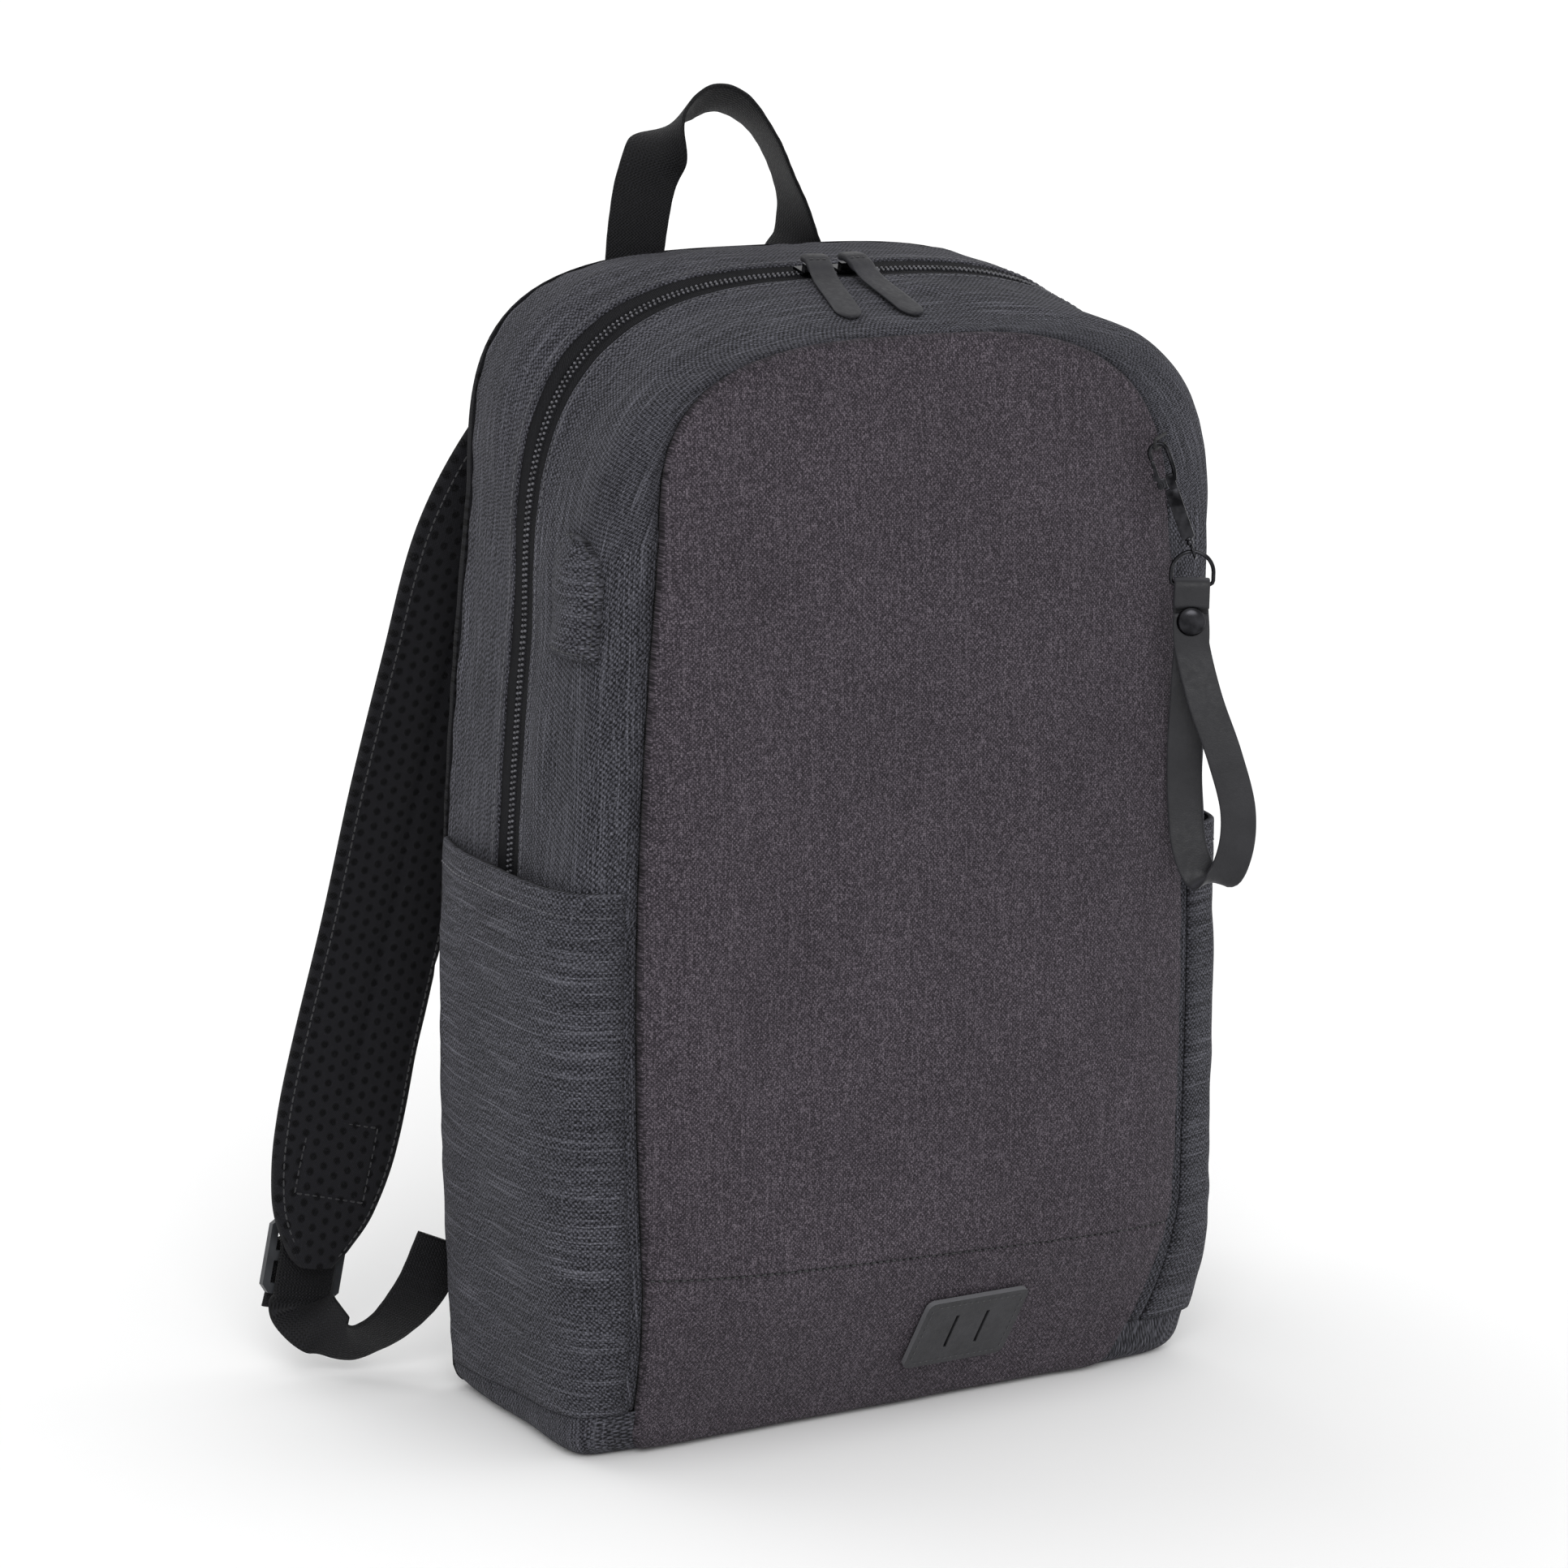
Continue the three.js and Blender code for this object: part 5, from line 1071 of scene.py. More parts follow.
def cover_piece():
    share = np.concatenate([
        np.linspace(0, 0.1, 5)[:-1], np.linspace(0.1, 0.9, 30)[:-1], np.linspace(0.9, 0.995, 14)])
    share, t = np.broadcast_arrays(share[:, None], 0.5 - 0.5 * np.cos(np.linspace(0, np.pi, 40)))
    over = np.clip((share - 1 + COVER_FILLET) / COVER_FILLET, 0, 1)
    full = np.sqrt(1 - over ** 2)
    middle = lerp(COVER_REAR, COVER_FRONT, COVER_PEAK)
    depth = lerp(middle, lerp(COVER_REAR, COVER_FRONT, t), full)
    crest = np.sin(np.pi * t) ** 0.6
    rise = COVER_RISE * lerp(COVER_EASE, 1.0, t) * crest * lerp(COVER_EASE, 1.0, full)
    way = way_of_height(depth, lerp(COVER_BOTTOM, COVER_TOP, share))
    from_rear, from_front = t * 30, (1 - t) * 30
    from_foot, from_top = share * 46, (1 - share) * 30
    seat = smooth(np.minimum(from_foot, 12), 0, 5) * 0.85 + 0.15
    edge = np.minimum.reduce([from_rear, from_front, from_foot, from_top])
    flat = np.stack([depth * BAG_DEPTH, share * 46, np.zeros_like(t)], -1)
    lift = COVER_EDGE - round_inset(edge, 1.5) + rise * seat
    lift = lift + waves(flat, 15, 71, (1.5, 0.8, 1)) * 0.35 * smooth(edge, 0, 6)
    lift = lift + 0.8 * bell(edge, 3.6, 1.2) * smooth(t, 0.5, 0.9) - 0.9 * bell(edge, 1.8, 0.7)
    outer = lifted(depth, way, GAP + lift)
    inner = lifted(depth, way, np.full_like(lift, -0.6))
    cloth = np.stack([depth * BAG_DEPTH + 90, share * 46, edge], -1)
    sheet_piece("port_hood", outer, inner, cloth, HEATHER, "heather", replaces=("port_cover",))
    normals = skin_normal(depth, way)
    for row in ((slice(2, None), 6), (slice(2, -3), -7), (3, slice(6, -6))):
        stitch("hood_stitching", outer[row], normals[row], radius=0.28)


cover_piece()

# ---------------------------------------------------------------- webbing: handle and strap ends
WEBBING_WIDTH, WEBBING_THICK = 25.0, 1.8
HANDLE_RISE, HANDLE_X, HANDLE_SPAN = 62.0, -19.0, 72.0
# across, rise, off and the direction of the width
HANDLE_ROUTE = [
    (-0.98, -0.205, 0, (1, 0, 0)),
    (-0.96, 0.02, 0, (1, -0.03, 0)),
    (-0.91, 0.26, 0, (0.99, -0.08, 0.05)),
    (-0.84, 0.46, 0, (0.93, -0.15, 0.3)),
    (-0.71, 0.65, -0.03, (0.7, -0.3, 0.62)),
    (-0.47, 0.84, -0.03, (0.34, -0.62, 0.7)),
    (-0.14, 0.95, 0, (0.04, -0.8, 0.6)),
    (0.21, 0.93, 0.04, (-0.1, -0.93, 0.36)),
    (0.6, 0.76, 0.1, (-0.2, -0.97, 0.1)),
    (0.94, 0.5, 0.2, (-0.2, -0.97, 0)),
    (1.16, 0.26, 0.3, (-0.06, -0.99, 0)),
    (1.22, 0.08, 0.36, (0.2, -0.97, 0)),
    (1.15, -0.06, 0.3, (0.8, -0.6, 0)),
    (1.05, -0.205, 0, (1, 0, 0)),
]
HANDLE_TOP = BAG_HEIGHT - 4
HANDLE_LEG_LIES = 0.75  # half widths of webbing that lie on the pad below a leg's end


def webbing_y(x, z, below):
    reach = WEBBING_WIDTH / 2
    seat = max(back_face_y(x + a * reach, z + b * reach)
               for a, b in ((-1, 0), (0, 0), (1, 0), (-1, -below), (1, -below)))
    return seat + 2 * GAP + WEBBING_THICK / 2


def webbing_piece(name, places, sides, replaces, seed):
    def wave(a, along, x):
        return 0.06 * np.sin(along / 1.1 + np.abs(a) * 3) * (np.abs(a) > 0.86)

    wide = WEBBING_WIDTH + 0.35 * waves(places, 26, seed)
    points, faces, cloth = ribbon(places, sides, wide, WEBBING_THICK, 14, 0.55, 10.0, wave, wave)
    make(name, points, faces, WEBBING, "webbing", cloth=cloth, replaces=(replaces,))


def handle_piece():
    places, sides = [], []
    for across, rise, off, side in HANDLE_ROUTE:
        x = HANDLE_X + across * HANDLE_SPAN / 2
        seat = webbing_y(x, HANDLE_TOP + HANDLE_ROUTE[0][1] * HANDLE_RISE, HANDLE_LEG_LIES)
        places.append((x, seat + off * WEBBING_WIDTH, HANDLE_TOP + rise * HANDLE_RISE))
        sides.append(side)
    places, sides = catmull(places, 150), unit(catmull(sides, 150))
    webbing_piece("handle_webbing", places, sides, "grab_handle", 81)
    _, side, face = band_frames(places, sides)
    for end in (slice(1, 12), slice(-12, -1)):
        out = face[end] * np.sign(face[end][:, 1:2])
        for shift in (-9.5, 9.5):
            line = places[end] + side[end] * shift + out * (WEBBING_THICK / 2)
            stitch("handle_stitching", line, out, radius=0.35, length=2.2)


handle_piece()

STRAP_WIDTH, STRAP_THICK, STRAP_TOP_X, STRAP_SPREAD = 54.0, 9.0, 58.0, 111.0
STRAP_LENGTH, STRAP_BELLY = 378.0, 40.0
BUCKLE_HEIGHT, BUCKLE_THICK, BUCKLE_BAR, BUCKLE_FOOT = 30.0, 3.0, 4.0, 3.6
STRAP_ROUTE = np.array([
    (0.0, 0.0, 0.0, 0.8),
    (0.06, 0.1, 0.0, 0.86),
    (0.13, 0.29, 0.22, 0.95),
    (0.24, 0.455, 0.48, 1.0),
    (0.37, 0.54, 0.7, 1.0),
    (0.51, 0.63, 0.88, 1.0),
    (0.65, 0.72, 0.98, 1.0),
    (0.78, 0.83, 1.0, 1.0),
    (0.86, 0.9, 0.95, 0.99),
    (0.93, 0.97, 0.87, 0.84),
    (0.98, 1.01, 0.82, 0.5),
    (1.0, 1.02, 0.8, 0.24),
])
STRAP_TOP_Z = BAG_HEIGHT * 0.95
STRAP_SEAT = back_face_y(STRAP_TOP_X, STRAP_TOP_Z * 0.94) + 2 * GAP + STRAP_THICK / 2


def strap_place(row, side):
    down, spread, off = row[..., 0], row[..., 1], row[..., 2]
    x = side * (STRAP_TOP_X + STRAP_SPREAD * spread)
    return np.stack([x, STRAP_SEAT + STRAP_BELLY * off, STRAP_TOP_Z - STRAP_LENGTH * down], -1)


BOX_REACH, BOX_HEIGHT, BOX_UP = 15, 30, 58  # stitched box: half width, height and start above the tip


def strap_piece(name, side, replaces):
    """Padded strap: spacer mesh on the face towards the wearer, heather cloth on the other."""
    rows = catmull(STRAP_ROUTE, 150)
    rows = rows[np.concatenate([[True], np.diff(rows[:, 0]) > 0])]
    places = strap_place(rows, side)
    turn = side * -0.2 * smooth(rows[:, 0], 0.1, 0.4)
    sides = np.stack([np.ones(len(rows)), np.zeros(len(rows)), turn], -1)
    _, across, face = band_frames(places, sides)
    inner_sign = -np.sign(np.median(face[:, 1]))
    length = run_length(places)
    total = length[-1]
    low = total - BOX_UP

    def spot(x, along):
        return np.stack(np.broadcast_arrays(x, along, 0 * x), -1)

    def inner(a, along, x):
        groove = -1.3 * bell(x, 0, 1.7) * between(along, 30, 60, total - 78, total - 62)
        crease = -1.1 * bell(along, total * 0.68 + 0.12 * x, 2.4)
        high = low + BOX_HEIGHT
        box = bell(np.abs(x), BOX_REACH, 1.1) * between(along, low - 1, low + 1, high - 1, high + 1)
        ends = bell(along, low, 1.1) + bell(along, high, 1.1)
        box = box + ends * (np.abs(x) < BOX_REACH + 0.5)
        return groove + crease - 0.8 * box + 0.35 * waves(spot(x, along), 34, 90 + side)

    def outer(a, along, x):
        return 0.4 * waves(spot(x, along), 40, 95 + side) * (1 - np.abs(a) ** 4)

    reliefs = (inner, outer) if inner_sign > 0 else (outer, inner)
    wide = STRAP_WIDTH * rows[:, 3]
    points, faces, cloth = ribbon(places, sides, wide, STRAP_THICK, 26, 0.3, 3.2, *reliefs)
    piece = make(name, points, faces, [STRAP_MESH, HEATHER], "mesh", cloth=cloth, replaces=(replaces,),
                 padded=0.6)
    away = np.array([p.normal.y > 0.12 for p in piece.data.polygons], np.int32)
    piece.data.polygons.foreach_set("material_index", away)
    out = face * inner_sign

    def on_face(x, along):
        k = np.clip(np.searchsorted(length, along), 1, len(length) - 1)
        t = (along - length[k - 1]) / (length[k] - length[k - 1])
        middle = lerp(places[k - 1], places[k], t[:, None])
        return middle + across[k] * x[:, None] + out[k] * (STRAP_THICK / 2 - 0.55), out[k]

    corners = [(x * BOX_REACH, y * BOX_HEIGHT) for x, y in ((-1, 0), (1, 0), (1, 1), (-1, 1), (-1, 0))]
    for (x0, y0), (x1, y1) in zip(corners, corners[1:]):
        line, normals = on_face(np.linspace(x0, x1, 12), low + np.linspace(y0, y1, 12))
        stitch("strap_stitching", line, normals, radius=0.35)
    rim = np.arange(4, len(places) - 8, 2)
    for sign in (-1, 1):
        reach = sign * (wide[rim] / 2 - 3.2)
        line = places[rim] + across[rim] * reach[:, None] + out[rim] * (STRAP_THICK / 2 * 0.83)
        stitch("strap_stitching", line, out[rim] + across[rim] * sign * 0.5, radius=0.3)


SLOT_OPEN = (BUCKLE_HEIGHT - 3 * BUCKLE_BAR) / 2


def strap_end_piece(name, side, replaces):
    """Webbing from the lower corner seam through the adjuster to its short tail."""
    tip = strap_place(STRAP_ROUTE[-1], side)
    run = unit(strap_place(STRAP_ROUTE[-4], side) - tip)
    face = unit(np.cross(run, (side, 0, 0)))
    if face[1] < 0:
        face = -face
    middle = tip + face * (STRAP_THICK / 2 + GAP + BUCKLE_FOOT + BUCKLE_THICK / 2) + run * 2
    flat = unit(np.cross(run, face)) * side
    pinch = BUCKLE_THICK / 2 + GAP + WEBBING_THICK / 2 + 0.4
    low = np.array([side * HALF_WIDTH, HALF_DEPTH, 0.0])

    def on(up, off):
        return middle + run * up + face * off

    def corner(x, y, z):
        return low + np.array([side * x, y, z])

    def aimed(x, y, z):
        return np.array([side * x, y, z])

    gap = BUCKLE_BAR / 2 + SLOT_OPEN / 2
    end_x, end_z = HALF_WIDTH + 1, 58.0
    stops = [
        (on(-21, pinch + 1.4), flat), (on(-12, pinch + 0.3), flat), (on(1, pinch), flat),
        (on(gap - 0.6, pinch * 0.7), flat), (on(gap + 0.4, 0), flat), (on(gap - 0.6, -pinch * 0.7), flat),
        (on(1, -pinch), flat), (on(-8, -pinch), flat), (on(-15, -pinch - 0.4), flat),
        (on(-19, -pinch - 0.6), aimed(-0.92, -0.4, 0.1)),
        (corner(40, 36, 21), aimed(-0.5, -0.66, 0.56)),
        (corner(32, 28, 16), aimed(-0.1, -0.75, 0.66)),
        (corner(22, 20, 21), aimed(0.35, -0.55, 0.76)),
        (corner(11, 12, 36), aimed(0.7, -0.2, 0.66)),
        (aimed(end_x, webbing_y(end_x, end_z, 1), end_z), aimed(0.86, 0, 0.5)),
    ]
    places, sides = (catmull(column, 220) for column in zip(*stops))
    webbing_piece(name, places, unit(sides), replaces, 84 + side)


for word, sign in (("left", -1), ("right", 1)):
    strap_piece(f"{word}_strap_pad", sign, f"shoulder_strap_{word}")
    strap_end_piece(f"{word}_strap_end", sign, f"strap_webbing_{word}")

# ---------------------------------------------------------------- pull tabs
TAB_WIDTH, TAB_THICK, TAB_LENGTH = 10.5, 1.8, 55.0
TAB_SEAM = 6.6  # from a tab's folded end to its pressed and stitched line
# share of the length and height over the skin
TAB_ROUTE = np.array([
    (0, 6.1), (0.08, 6.6), (0.24, 4.4), (0.42, 2.3), (0.62, 1.7), (0.84, 1.6), (0.95, 1.6), (1.0, 1.6)])


def way_across(depth, x):
    way = np.full(np.shape(x), 1.5)
    for _ in range(40):
        way = way + (x - skin(depth, way)[..., 0]) / BAG_WIDTH
    return way


def tab_piece(name, x, turn, replaces):
    lean = math.radians(turn)
    at = np.linspace(0, 1, 56)
    lift = catmull(TAB_ROUTE, 120)
    lift = np.interp(at, lift[:, 0], lift[:, 1])
    depth = ZIP_DEPTH + math.cos(lean) * TAB_LENGTH * at / BAG_DEPTH
    way = way_across(depth, x + math.sin(lean) * TAB_LENGTH * at)
    places = lifted(depth, way, lift)
    sides = np.tile([math.cos(lean), math.sin(lean), 0.0], (len(at), 1))
    tip = np.clip((at - 0.875) / 0.125, 0, 1)
    width = TAB_WIDTH * lerp(0.93, 1.0, smooth(at, 0.1, 0.4)) * np.sqrt(np.maximum(1 - tip ** 2, 0.02))
    thick = TAB_THICK * (1 + 0.75 * (1 - smooth(at, 0.2, 0.25)))

    def press(a, along, s):
        rim = smooth(np.abs(a), 0.78, 0.9) * smooth(along, 9, 12)
        return -0.4 * bell(along, TAB_SEAM, 0.5) - 0.18 * rim

    points, faces, cloth = ribbon(places, sides, width, thick, 14, 0.45, 6.0, press, press)
    make(name, points, faces, TAB_RUBBER, "rubber", cloth=cloth, replaces=(replaces,))
    _, side, face = band_frames(places, sides)
    out = face * np.sign(np.sum(face * skin_normal(depth, way), -1, keepdims=True))
    k = int(np.argmin(np.abs(at - TAB_SEAM / TAB_LENGTH)))
    line = places[k] + side[k] * np.linspace(-3.8, 3.8, 6)[:, None] + out[k] * (thick[k] / 2 - 0.25)
    stitch("tab_stitching", line, np.tile(out[k], (6, 1)), radius=0.3, pitch=2.4, length=1.7)


tab_piece("left_tab", -13, -11, "pull_tab_left")
tab_piece("right_tab", 3, 2, "pull_tab_right")

# ---------------------------------------------------------------- clip, ring, wrist strap
FACE_TURN = math.radians(32)
FACE_RIGHT = np.array([math.cos(FACE_TURN), -math.sin(FACE_TURN), 0.0])
FACE_IN = np.array([math.sin(FACE_TURN), math.cos(FACE_TURN), 0.0])
UP = np.array([0.0, 0.0, 1.0])
CLIP_PLACE = np.array([106.5, -67.0, 351.0])
CLIP_WIDTH, CLIP_LENGTH, CLIP_THICK, CLIP_LEAN = 5.2, 26.0, 2.2, math.radians(-21)
HOOK_WIRE, HOOK_HALF, HOOK_RISE, NOSE_DROP = 1.7, 3.5, 9.0, 1.6
EYE_HOLE, EYE_WALL, EYE_POST = 1.9, 1.1, 2.2
EYE_Z = -CLIP_LENGTH / 2 - EYE_POST - EYE_HOLE - EYE_WALL
CLIP_TURN = np.stack([FACE_RIGHT, FACE_IN, UP], -1) @ np.array([
    [math.cos(CLIP_LEAN), 0, math.sin(CLIP_LEAN)], [0, 1, 0], [-math.sin(CLIP_LEAN), 0, math.cos(CLIP_LEAN)]])


def on_clip(points):
    return np.asarray(points, float) @ CLIP_TURN.T + CLIP_PLACE


def clip_piece():
    half = CLIP_LENGTH / 2
    pivot = half - 3
    parts = [block((CLIP_WIDTH, CLIP_THICK, CLIP_LENGTH - 5.6), (0, 0, -2.8), 0.5)]
    parts.append(block((CLIP_WIDTH - 2.0, CLIP_THICK, 6.4), (1.0, 0, half - 3.2), 0.4))
    parts.append(block((3.4, 0.8, 4.2), (-HOOK_HALF + 0.9, CLIP_THICK / 2 + 0.1, pivot), 0.3))
    t = np.linspace(0, np.pi, 30)
    arc = np.stack([HOOK_HALF * np.cos(t), 0 * t, half + HOOK_RISE + HOOK_HALF * np.sin(t)], -1)
    foot = [(HOOK_HALF - 1.2, 0, half - 3), (HOOK_HALF - 0.5, 0, half - 0.6), (HOOK_HALF, 0, half + 1.5)]
    route = np.concatenate([foot, arc, [(-HOOK_HALF, 0, half + HOOK_RISE - NOSE_DROP)]])
    parts.append(tube(route, HOOK_WIRE / 2, (0, 1, 0), sides=14))
    pin = np.array([(-HOOK_HALF, y, pivot) for y in (-1.1, -0.9, 0.9, 1.1)])
    parts.append(tube(pin, (0.45, 0.6, 0.6, 0.45), (0, 0, 1), sides=12))
    post = np.array([(0, 0, z) for z in (-half + 0.4, -half - 0.3, -half - 0.8, -half - 1.6, -half - 2.5)])
    parts.append(tube(post, (1.5, 1.7, 1.15, 1.5, 1.2), (0, 1, 0), sides=16))
    t = np.linspace(0, 2 * np.pi, 29)[:-1]
    mid = EYE_HOLE + EYE_WALL / 2
    ring = np.stack([0 * t, mid * np.cos(t), EYE_Z + mid * np.sin(t)], -1)
    parts.append(tube(ring, 0.62, (1, 0, 0), closed=True, sides=10))
    points, faces = joined(*parts)
    make("clip_body", on_clip(points), faces, NICKEL, "metal", replaces=("trigger_clip",), auto=40)
    reach = HOOK_RISE + half - NOSE_DROP - GAP - pivot
    bar = block((1.5, 1.5, reach - 0.2), (0, 0, reach / 2), 0.35)
    thumb = block((1.3, 1.6, 3.0), (-1.2, 0, reach * 0.35), 0.4)
    hub = np.array([(0, y, 0) for y in (-0.8, -0.6, 0.6, 0.8)])
    hub = tube(hub, (1.15, 1.35, 1.35, 1.15), (0, 0, 1), sides=16)
    points, faces = joined(bar, thumb, hub)
    place = on_clip(points + np.array([-HOOK_HALF, -0.15, pivot]))
    make("clip_gate_body", place, faces, NICKEL, "metal", replaces=("clip_gate",), body="gate", auto=40)


clip_piece()

HOOK_TOP = on_clip([(0, 0, CLIP_LENGTH / 2 + HOOK_RISE + HOOK_HALF)])[0]
LOOP_WIRE = 1.4


def loop_piece():
    angles = np.linspace(1, 0.5, 900) * np.pi
    line = crown(1.0, angles)
    seam = line[int(np.argmin(np.abs(line[:, 2] - HOOK_TOP[2])))]
    reach = (HOOK_WIRE + LOOP_WIRE) / 2 + GAP
    root = seam + np.array([1.8 * LOOP_WIRE + GAP, -LOOP_WIRE - GAP, 0])
    toward = root - HOOK_TOP
    toward[2] = 0
    toward = unit(toward)
    t = np.linspace(-0.5, 0.5, 20) * np.pi
    arc = HOOK_TOP - toward * reach * np.cos(t)[:, None] - UP * reach * np.sin(t)[:, None]
    top = np.linspace(root + UP * reach, arc[0], 6)[:-1]
    foot = np.linspace(arc[-1], root - UP * reach, 6)[1:]
    flat = np.array([-toward[1], toward[0], 0.0])
    points, faces = tube(np.concatenate([top, arc, foot]), LOOP_WIRE / 2, flat, sides=12)
    make("seam_loop", points, faces, ELASTIC, "webbing", replaces=("pocket_loop",))


loop_piece()

RING_WIRE, RING_WIDTH = 1.6, 17.8
EYE_PLACE = on_clip([(0, 0, EYE_Z)])[0]
RING_HALF = (RING_WIDTH - RING_WIRE) / 2
RING_TOP = EYE_PLACE - UP * 0.2
RING_DROP = 4.5  # from the end of the ring's round part to its straight bar
RING_BAR = RING_TOP - UP * (RING_HALF + RING_DROP)


def ring_piece():
    t = np.pi * (1 - np.linspace(0, 1, 32))
    arc = RING_TOP + FACE_RIGHT * (RING_HALF * np.cos(t))[:, None]
    arc = arc + UP * (RING_HALF * (np.sin(t) - 1))[:, None]
    side = np.array([(RING_HALF * share, -RING_HALF - drop)
                     for share, drop in ((1, 1.5), (1, 2.9), (0.96, 3.9), (0.86, 4.4), (0.7, RING_DROP))])
    foot = np.array([(x, -RING_HALF - RING_DROP) for x in np.linspace(0.5, -0.5, 7) * RING_HALF])
    other = side[::-1] * np.array([-1, 1])
    path = np.concatenate([side, foot, other])
    rest = RING_TOP + FACE_RIGHT * path[:, :1] + UP * path[:, 1:]
    points, faces = tube(np.concatenate([arc, rest]), RING_WIRE / 2, FACE_IN, closed=True, sides=14)
    make("d_ring", points, faces, NICKEL, "metal", replaces=("strap_ring",))


ring_piece()

WRIST_WIDTH, WRIST_THICK, WRIST_LENGTH = 13.6, 1.6, 116.0
WRIST_ROUTE = [
    (0.06, -0.06, 0.17), (0.02, -0.1, 0.34), (-0.02, -0.12, 0.54), (0.04, -0.1, 0.74), (0.22, 0, 0.9),
    (0.62, 0.2, 0.985), (1.1, 0.5, 0.975), (1.42, 0.74, 0.88), (1.46, 0.8, 0.74), (1.04, 0.66, 0.56),
    (0.46, 0.4, 0.38), (0.1, 0.1, 0.23), (0, 0.065, 0.165),
]
FOLD_RADIUS = RING_WIRE / 2 + GAP + WRIST_THICK / 2
FOLD_END = 9  # from the ring's bar to the ends of the fold


def on_wrist(right, near, down):
    return RING_BAR + FACE_RIGHT * right - FACE_IN * near - UP * down


def wrist_piece():
    strand = WRIST_THICK / 2 + GAP
    fold = [on_wrist(0, -FOLD_RADIUS * math.cos(a), -FOLD_RADIUS * math.sin(a))
            for a in np.linspace(0, np.pi, 9)]
    stops = [on_wrist(0, FOLD_RADIUS, FOLD_END), *fold[::-1], on_wrist(0, -FOLD_RADIUS, FOLD_END)]
    for right, near, down in WRIST_ROUTE:
        off = -strand if near < 0 else strand
        stops.append(on_wrist(right * WRIST_WIDTH, near * WRIST_WIDTH + off, down * WRIST_LENGTH))
    stops.append(on_wrist(0, FOLD_RADIUS, FOLD_END + 2 * GAP))
    places = resample(catmull(stops, 230), step=1.6)[0][::2]
    places = catmull(places, 2 * len(places))
    sides = np.tile(FACE_RIGHT, (len(places), 1))

    def crownish(a, along, x):
        return 0.1 * (1 - a ** 2) - 0.12 * bell(np.abs(x), WRIST_WIDTH / 2 - 1.3, 0.25)

    points, faces, cloth = ribbon(places, sides, WRIST_WIDTH, WRIST_THICK, 16, 0.6, 12.0, crownish, crownish)
    make("wrist_loop", points, faces, WRIST_RUBBER, "rubber", cloth=cloth, replaces=("wrist_strap",))


wrist_piece()

RIVET_RADIUS, RIVET_DOME = 5.6, 2.2
# shares of radius and dome
RIVET_PROFILE = [
    (0.985, 0.0), (1.0, 0.14), (0.99, 0.3), (0.94, 0.44), (0.86, 0.62), (0.74, 0.77), (0.6, 0.88),
    (0.42, 0.95), (0.22, 0.99)]


def rivet_piece():
    out = -FACE_IN
    middle = on_wrist(0, FOLD_RADIUS + WRIST_THICK / 2 + GAP - 0.15, 14)
    t = np.linspace(0, 2 * np.pi, 41)[:-1]
    around = FACE_RIGHT * np.cos(t)[:, None] + UP * np.sin(t)[:, None]
    rings = [middle + around * r * RIVET_RADIUS + out * h * RIVET_DOME for r, h in RIVET_PROFILE]
    points = np.concatenate([*rings, [middle + out * RIVET_DOME], [middle]])
    n, count = len(t), len(RIVET_PROFILE)
    top, last = count * n, (count - 1) * n
    faces = ring_faces(count, n)
    faces += [(last + k, last + (k + 1) % n, top) for k in range(n)]
    faces += [((k + 1) % n, k, top + 1) for k in range(n)]
    make("rivet_cap", points, faces, NICKEL, "metal", replaces=("strap_rivet",))


rivet_piece()

# ---------------------------------------------------------------- CAD nodes that stay
def dress(node, look, bevel):
    """A hard CAD node keeps its shape, with rounded edges and its own material."""
    piece = next(o for o in bpy.data.objects if o.name == node)
    piece.data.materials.clear()
    piece.data.materials.append(look)
    modifier = piece.modifiers.new("rounded", "BEVEL")
    modifier.width = bevel * MM
    modifier.segments = 2
    modifier.limit_method = "ANGLE"
    modifier.angle_limit = math.radians(35)


for word in ("left", "right"):
    dress(f"adjuster_{word}", NYLON, 0.6)
    dress(f"zip_slider_{word}", NICKEL, 0.4)
dress("lash_patch", PATCH_RUBBER, 0.45)

# stitches inside the patch's edge
PATCH_WIDTH, PATCH_HEIGHT, PATCH_THICK, PATCH_SLANT = 46.0, 32.0, 2.2, 3.6
PATCH_X, PATCH_Z, PATCH_RIM = 23.5, 36.0, 2.4


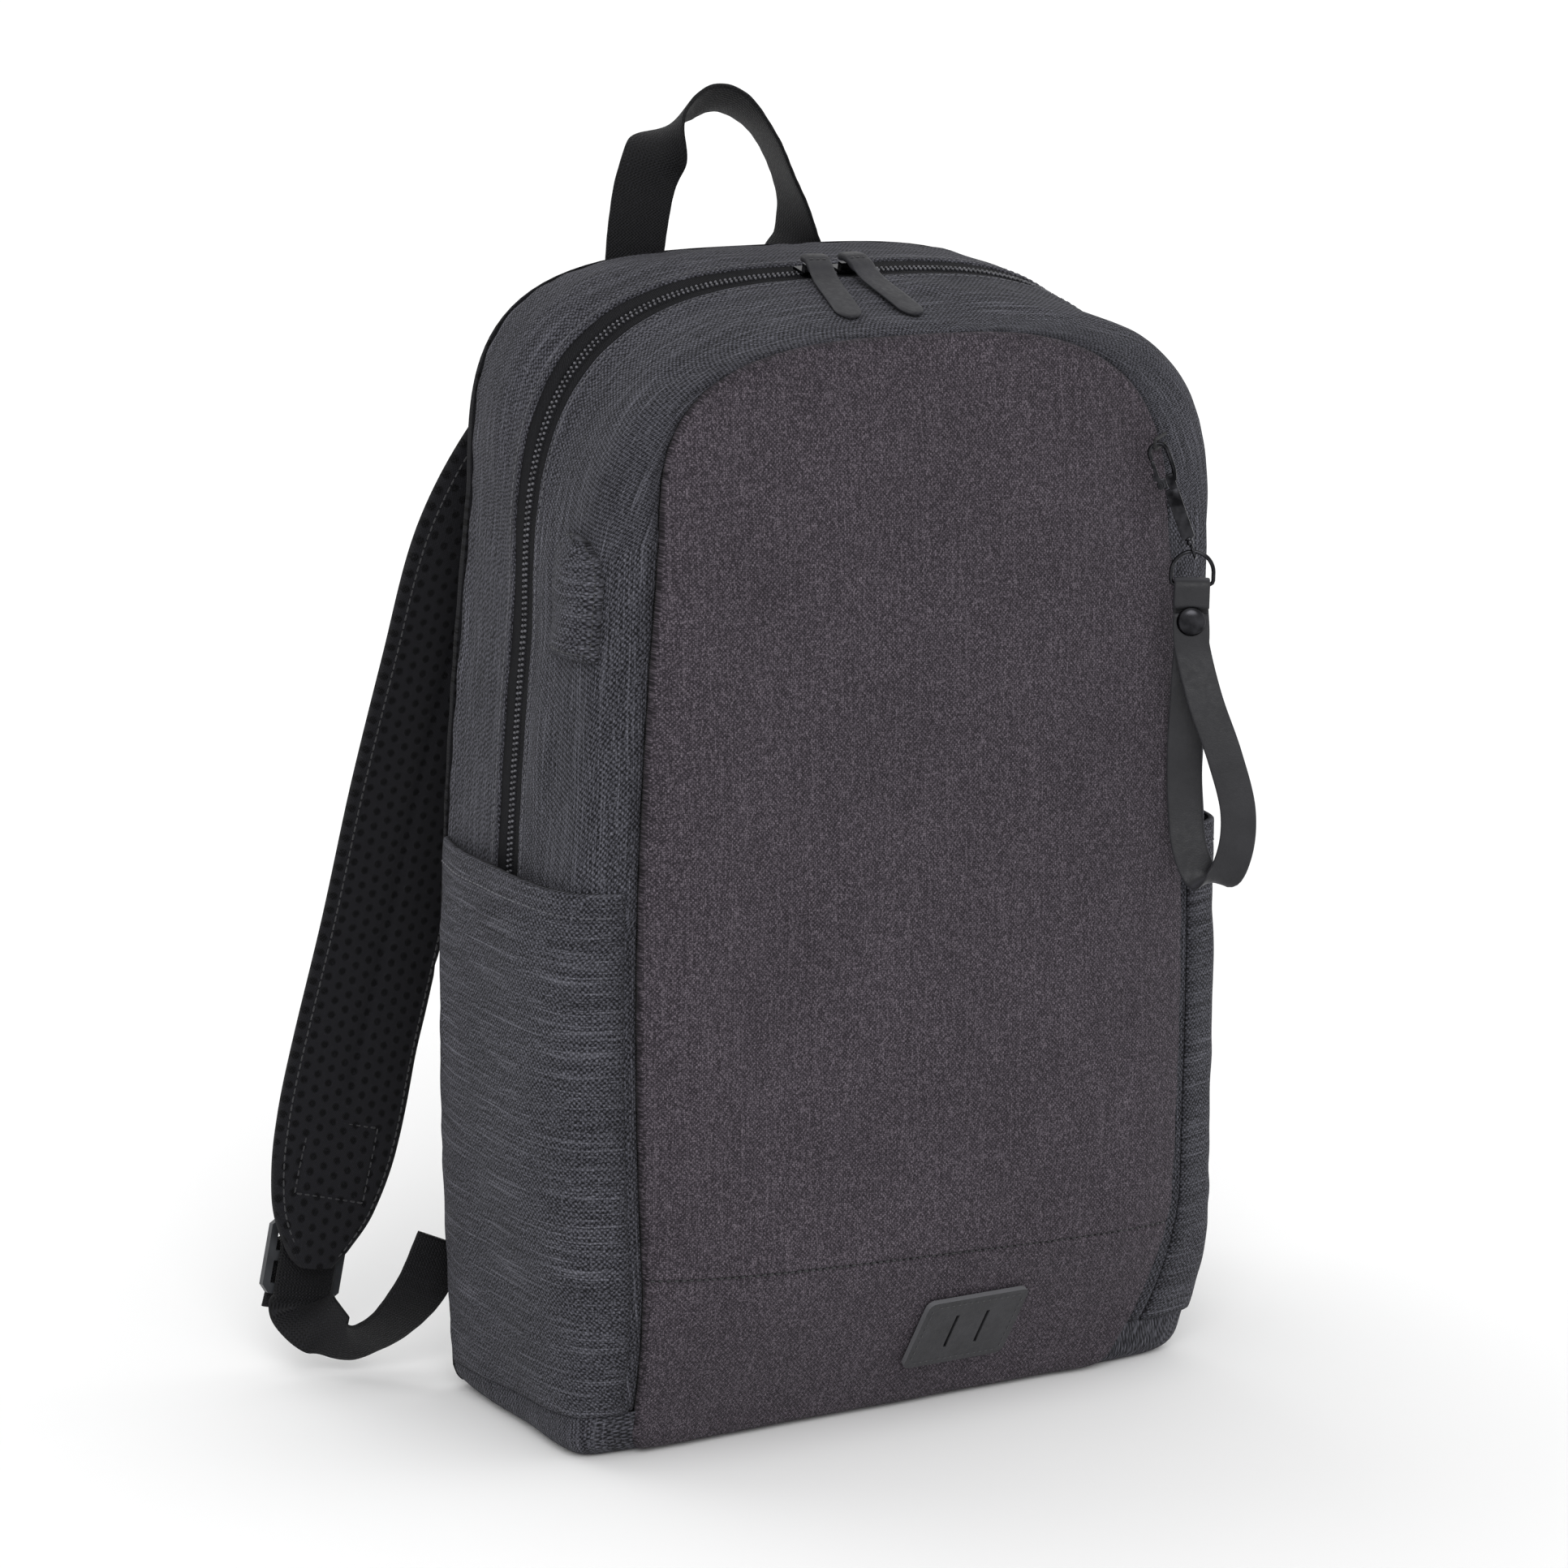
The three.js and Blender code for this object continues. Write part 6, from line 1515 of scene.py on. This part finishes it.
def patch_stitches():
    across = PATCH_X / half_width(1.0, PATCH_Z)
    low, high = (front_point(across, up_of_height(across, PATCH_Z + end * PATCH_HEIGHT / 2))
                 for end in (-1, 1))
    tilt = math.atan2(high[1] - low[1], high[2] - low[2])
    middle = np.array([PATCH_X, (low[1] + high[1]) / 2 - 1.1, PATCH_Z])
    up = np.array([0, math.sin(tilt), math.cos(tilt)])
    out = np.array([0, -math.cos(tilt), math.sin(tilt)])
    right = np.array([1.0, 0, 0])
    w, h, s = PATCH_WIDTH / 2 - PATCH_RIM, PATCH_HEIGHT / 2 - PATCH_RIM, PATCH_SLANT / 2
    corners = [(-w - s, -h), (w - s, -h), (w + s, h), (-w + s, h), (-w - s, -h)]
    for (x0, y0), (x1, y1) in zip(corners, corners[1:]):
        t = np.linspace(0.03, 0.97, 12)[:, None]
        flat = lerp(np.array([x0, y0]), np.array([x1, y1]), t)
        line = middle + right * flat[:, :1] + up * flat[:, 1:] + out * (PATCH_THICK - 0.12)
        stitch("patch_stitching", line, np.tile(out, (12, 1)), radius=0.3, pitch=2.7, length=1.9)


patch_stitches()
finish_stitches()

# ---------------------------------------------------------------- stage
def add_stage():
    mesh = bpy.data.meshes.new("studio_floor")
    mesh.from_pydata([(-20, -20, 0), (20, -20, 0), (20, 20, 0), (-20, 20, 0)], [], [(0, 1, 2, 3)])
    mesh.materials.append(floor_look())
    floor = bpy.data.objects.new("studio_floor", mesh)
    bpy.context.collection.objects.link(floor)
    world = bpy.data.worlds.new("studio")
    world.use_nodes = True
    for socket, value in ((0, (1, 1, 1, 1)), (1, 0.78)):
        world.node_tree.nodes["Background"].inputs[socket].default_value = value
    bpy.context.scene.world = world
    add_sun("key", (-0.45, -0.85, 0.62), 1.2, math.radians(38))
    add_sun("fill", (0.9, -0.3, 0.4), 0.4, math.radians(60))
    add_sun("rim", (-0.3, 0.8, 0.9), 0.5, math.radians(50))
    bpy.context.scene.view_settings.view_transform = "Standard"


add_camera()
add_stage()
